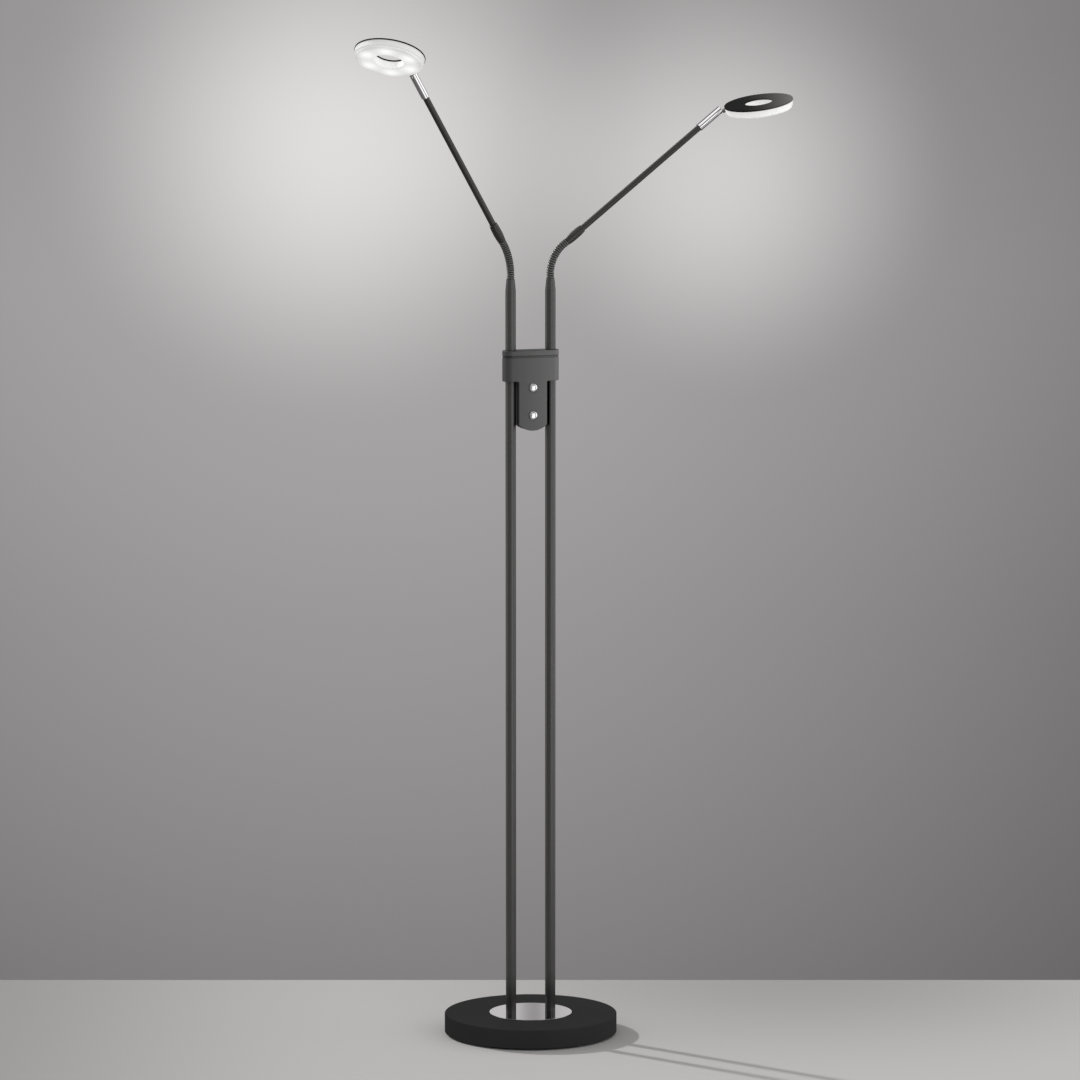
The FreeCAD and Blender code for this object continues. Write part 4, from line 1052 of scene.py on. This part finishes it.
# Slotted sleeve with its ball joint
sleeve = sizesOf(radius=5.75, low=-37, top=5, edge=0.4, tubeBore=4.58, shoulder=-23.5, socket=4.26,
                 mouth=3.3, slotHalf=2.2)
ball = sizesOf(radius=4.2, bore=1.56, pocket=2.5, pocketTop=-2.59)
ball["points"] = 24
stemRod = sizesOf(bore=0.8, edge=0.15, end=20)
stemRod["turns"] = [(start * mm, radius * mm) for start, radius in (
    (-3.35, 2.0), (-2.65, 1.42), (4.3, 2.0), (8.0, 3.2), (10.0, 2.4))]


def makeSleeve(side, places):
    low, top, radius, socket = sleeve["low"], sleeve["top"], sleeve["radius"], sleeve["socket"]
    bore, mouth, half = sleeve["tubeBore"], sleeve["mouth"], sleeve["slotHalf"]
    outline = [(bore, low), (radius, low), (radius, top), (mouth, top)]
    outline += arcPoints((0, 0), socket, degrees(acos(mouth / socket)), 0, 12)
    outline += [(socket, sleeve["shoulder"]), (bore, sleeve["shoulder"])]
    shell = lathe(outline, steps["round"])
    soften(shell, sleeve["edge"], 3, 60, lambda spot: spot.xy.length > radius - tiny)
    slot = cutter(boxShape((0, -half, 0), (2 * radius, half, 2 * top)), places["sleeve"])
    slotEnd = cutter(rod(half, 0, 2 * radius, steps["screw"]),
                     places["sleeve"] @ Matrix.Rotation(pi / 2, 4, "Y"))
    item = carve(meshObject(side + "Sleeve", shell, places["sleeve"]), [slot, slotEnd])
    settle(item, "chrome_trim", side + "_sleeve", "sleeve_" + side)


def makeBall(side, places):
    radius, pocket, bore = ball["radius"], ball["pocket"], ball["bore"]
    outline = arcPoints((0, 0), radius, degrees(acos(bore / radius)),
                        -degrees(acos(pocket / radius)), ball["points"])
    outline += [(pocket, ball["pocketTop"]), (bore, ball["pocketTop"])]
    piece(side + "SwivelBall", lathe(outline, steps["turned"]), "chrome_trim", side + "_ball",
          "swivel_ball_" + side, places["ball"])


# Turned stem with a collar, from the ball to the head
def makeStem(side, places):
    turns = stemRod["turns"]
    ends = [start for start, radius in turns[1:]] + [stemRod["end"]]
    outline = [(stemRod["bore"], turns[0][0])]
    for (start, radius), end in zip(turns, ends):
        outline += [(radius, start), (radius, end)]
    outline.append((stemRod["bore"], stemRod["end"]))
    shape = soften(lathe(outline, steps["pole"]), stemRod["edge"], 2, 60)
    piece(side + "HeadStem", shape, "chrome_trim", side + "_head", "head_stem_" + side, places["stem"],
          "smoked_chrome")


# Ring lights: dark top plate and opal cover with the glow of its diodes
head = sizesOf(
    reach=60.3, radius=50, hole=20, half=6.5, plate=2, plateEdge=0.3, inset=0.6, draft=0.8, step=1.2,
    stepHeight=4, stepFoot=0.75, round=2.2, wall=1.6, floor=2.2, holeInset=0.8, stemBore=2.45, stemEnd=20.3)
head["rolls"] = {"left": 3.3, "right": 43.0}
# The walls' glow, upper and lower, is set per head as painted shade, darker on the left head
glow = sizesOf(circle=34, spot=12, holeDepth=6.6, fadeStart=37, fadeEnd=48)
glow.update(diodes=6, first=0.5, face=0.48, peak=0.40, hole=0.38, rimFade=0.24,
            walls={"left": (0.14, 0.30), "right": (0.35, 0.56)})


def makeHeadPlate(side, places):
    low, top = head["half"] - head["plate"], head["half"]
    plate = tube(head["hole"], head["radius"], low, top, steps["wide"])
    soften(plate, head["plateEdge"], 3, 60, lambda spot: spot.z > top - tiny)
    piece(side + "HeadPlate", plate, "head_paint", side + "_head", "head_plate_" + side, places["head"])


def diffuserOutline():
    under, floor = head["half"] - head["plate"], -head["half"]
    rim = head["radius"] - head["inset"]
    waist = rim - head["draft"]
    step = waist - head["step"]
    hole = head["hole"] + head["holeInset"]
    curve, wall = head["round"], head["wall"]
    ledge = floor + head["stepHeight"]
    inside = floor + head["floor"]
    outline = [(rim, under)] + between((rim, under), (waist, ledge), 5)
    outline += arcPoints((waist - head["step"] / 2, ledge), head["step"] / 2, 0, -60, 4)
    outline.append((step, ledge - head["stepFoot"]))
    outline += arcPoints((step - curve, floor + curve), curve, 0, -90, 6)
    outline += between((step - curve, floor), (hole + curve, floor), 14)
    outline += arcPoints((hole + curve, floor + curve), curve, -90, -180, 6)
    outline += between((hole, floor + curve), (hole, under), 4)
    outline += [(hole, under), (hole + wall, under), (hole + wall, inside), (step - wall, inside),
                (waist - wall, ledge + head["step"]), (rim - wall, under)]
    return outline


diodes = ring(glow["diodes"], glow["circle"], glow["first"])


# How brightly a point of the cover shines, from its place in the head
def shineAt(here, side):
    reach = here.xy.length
    low, inner = -head["half"], head["hole"] + head["holeInset"] + head["round"]
    if reach < inner - tiny:
        depth = min((here.z - low) / glow["holeDepth"], 1)
        return glow["face"] + (glow["hole"] - glow["face"]) * depth
    # The side walls take their head's own levels, the left head's painted darker as painted shade
    if here.z > low + head["round"]:
        share = (head["half"] - head["plate"] - here.z) / (2 * head["half"])
        upper, lower = glow["walls"][side]
        return upper + (lower - upper) * share
    spots = sum(exp(-((here.xy - diode.xy).length / glow["spot"]) ** 2) for diode in diodes)
    share = min(max((reach - glow["fadeStart"]) / (glow["fadeEnd"] - glow["fadeStart"]), 0), 1)
    return glow["face"] + glow["peak"] * spots - glow["rimFade"] * share


def makeDiffuser(side, places):
    item = meshObject(side + "Diffuser", lathe(diffuserOutline(), steps["wide"]), places["head"])
    carve(item, [cutter(rod(head["stemBore"], 0, head["stemEnd"], steps["hole"]), places["stem"])])
    settle(item, "opal_diffuser", side + "_head", "diffuser_" + side)
    inward = places["head"].inverted()
    keepValues(item, "glow", lambda spot: shineAt(inward @ spot, side))


for side in sides:
    places = armPlaces(side, radians(head["rolls"][side]))
    for make in (makeNeck, makeArm, makeSleeve, makeBall, makeStem, makeHeadPlate, makeDiffuser):
        make(side, places)
    print(side, "arm: done")
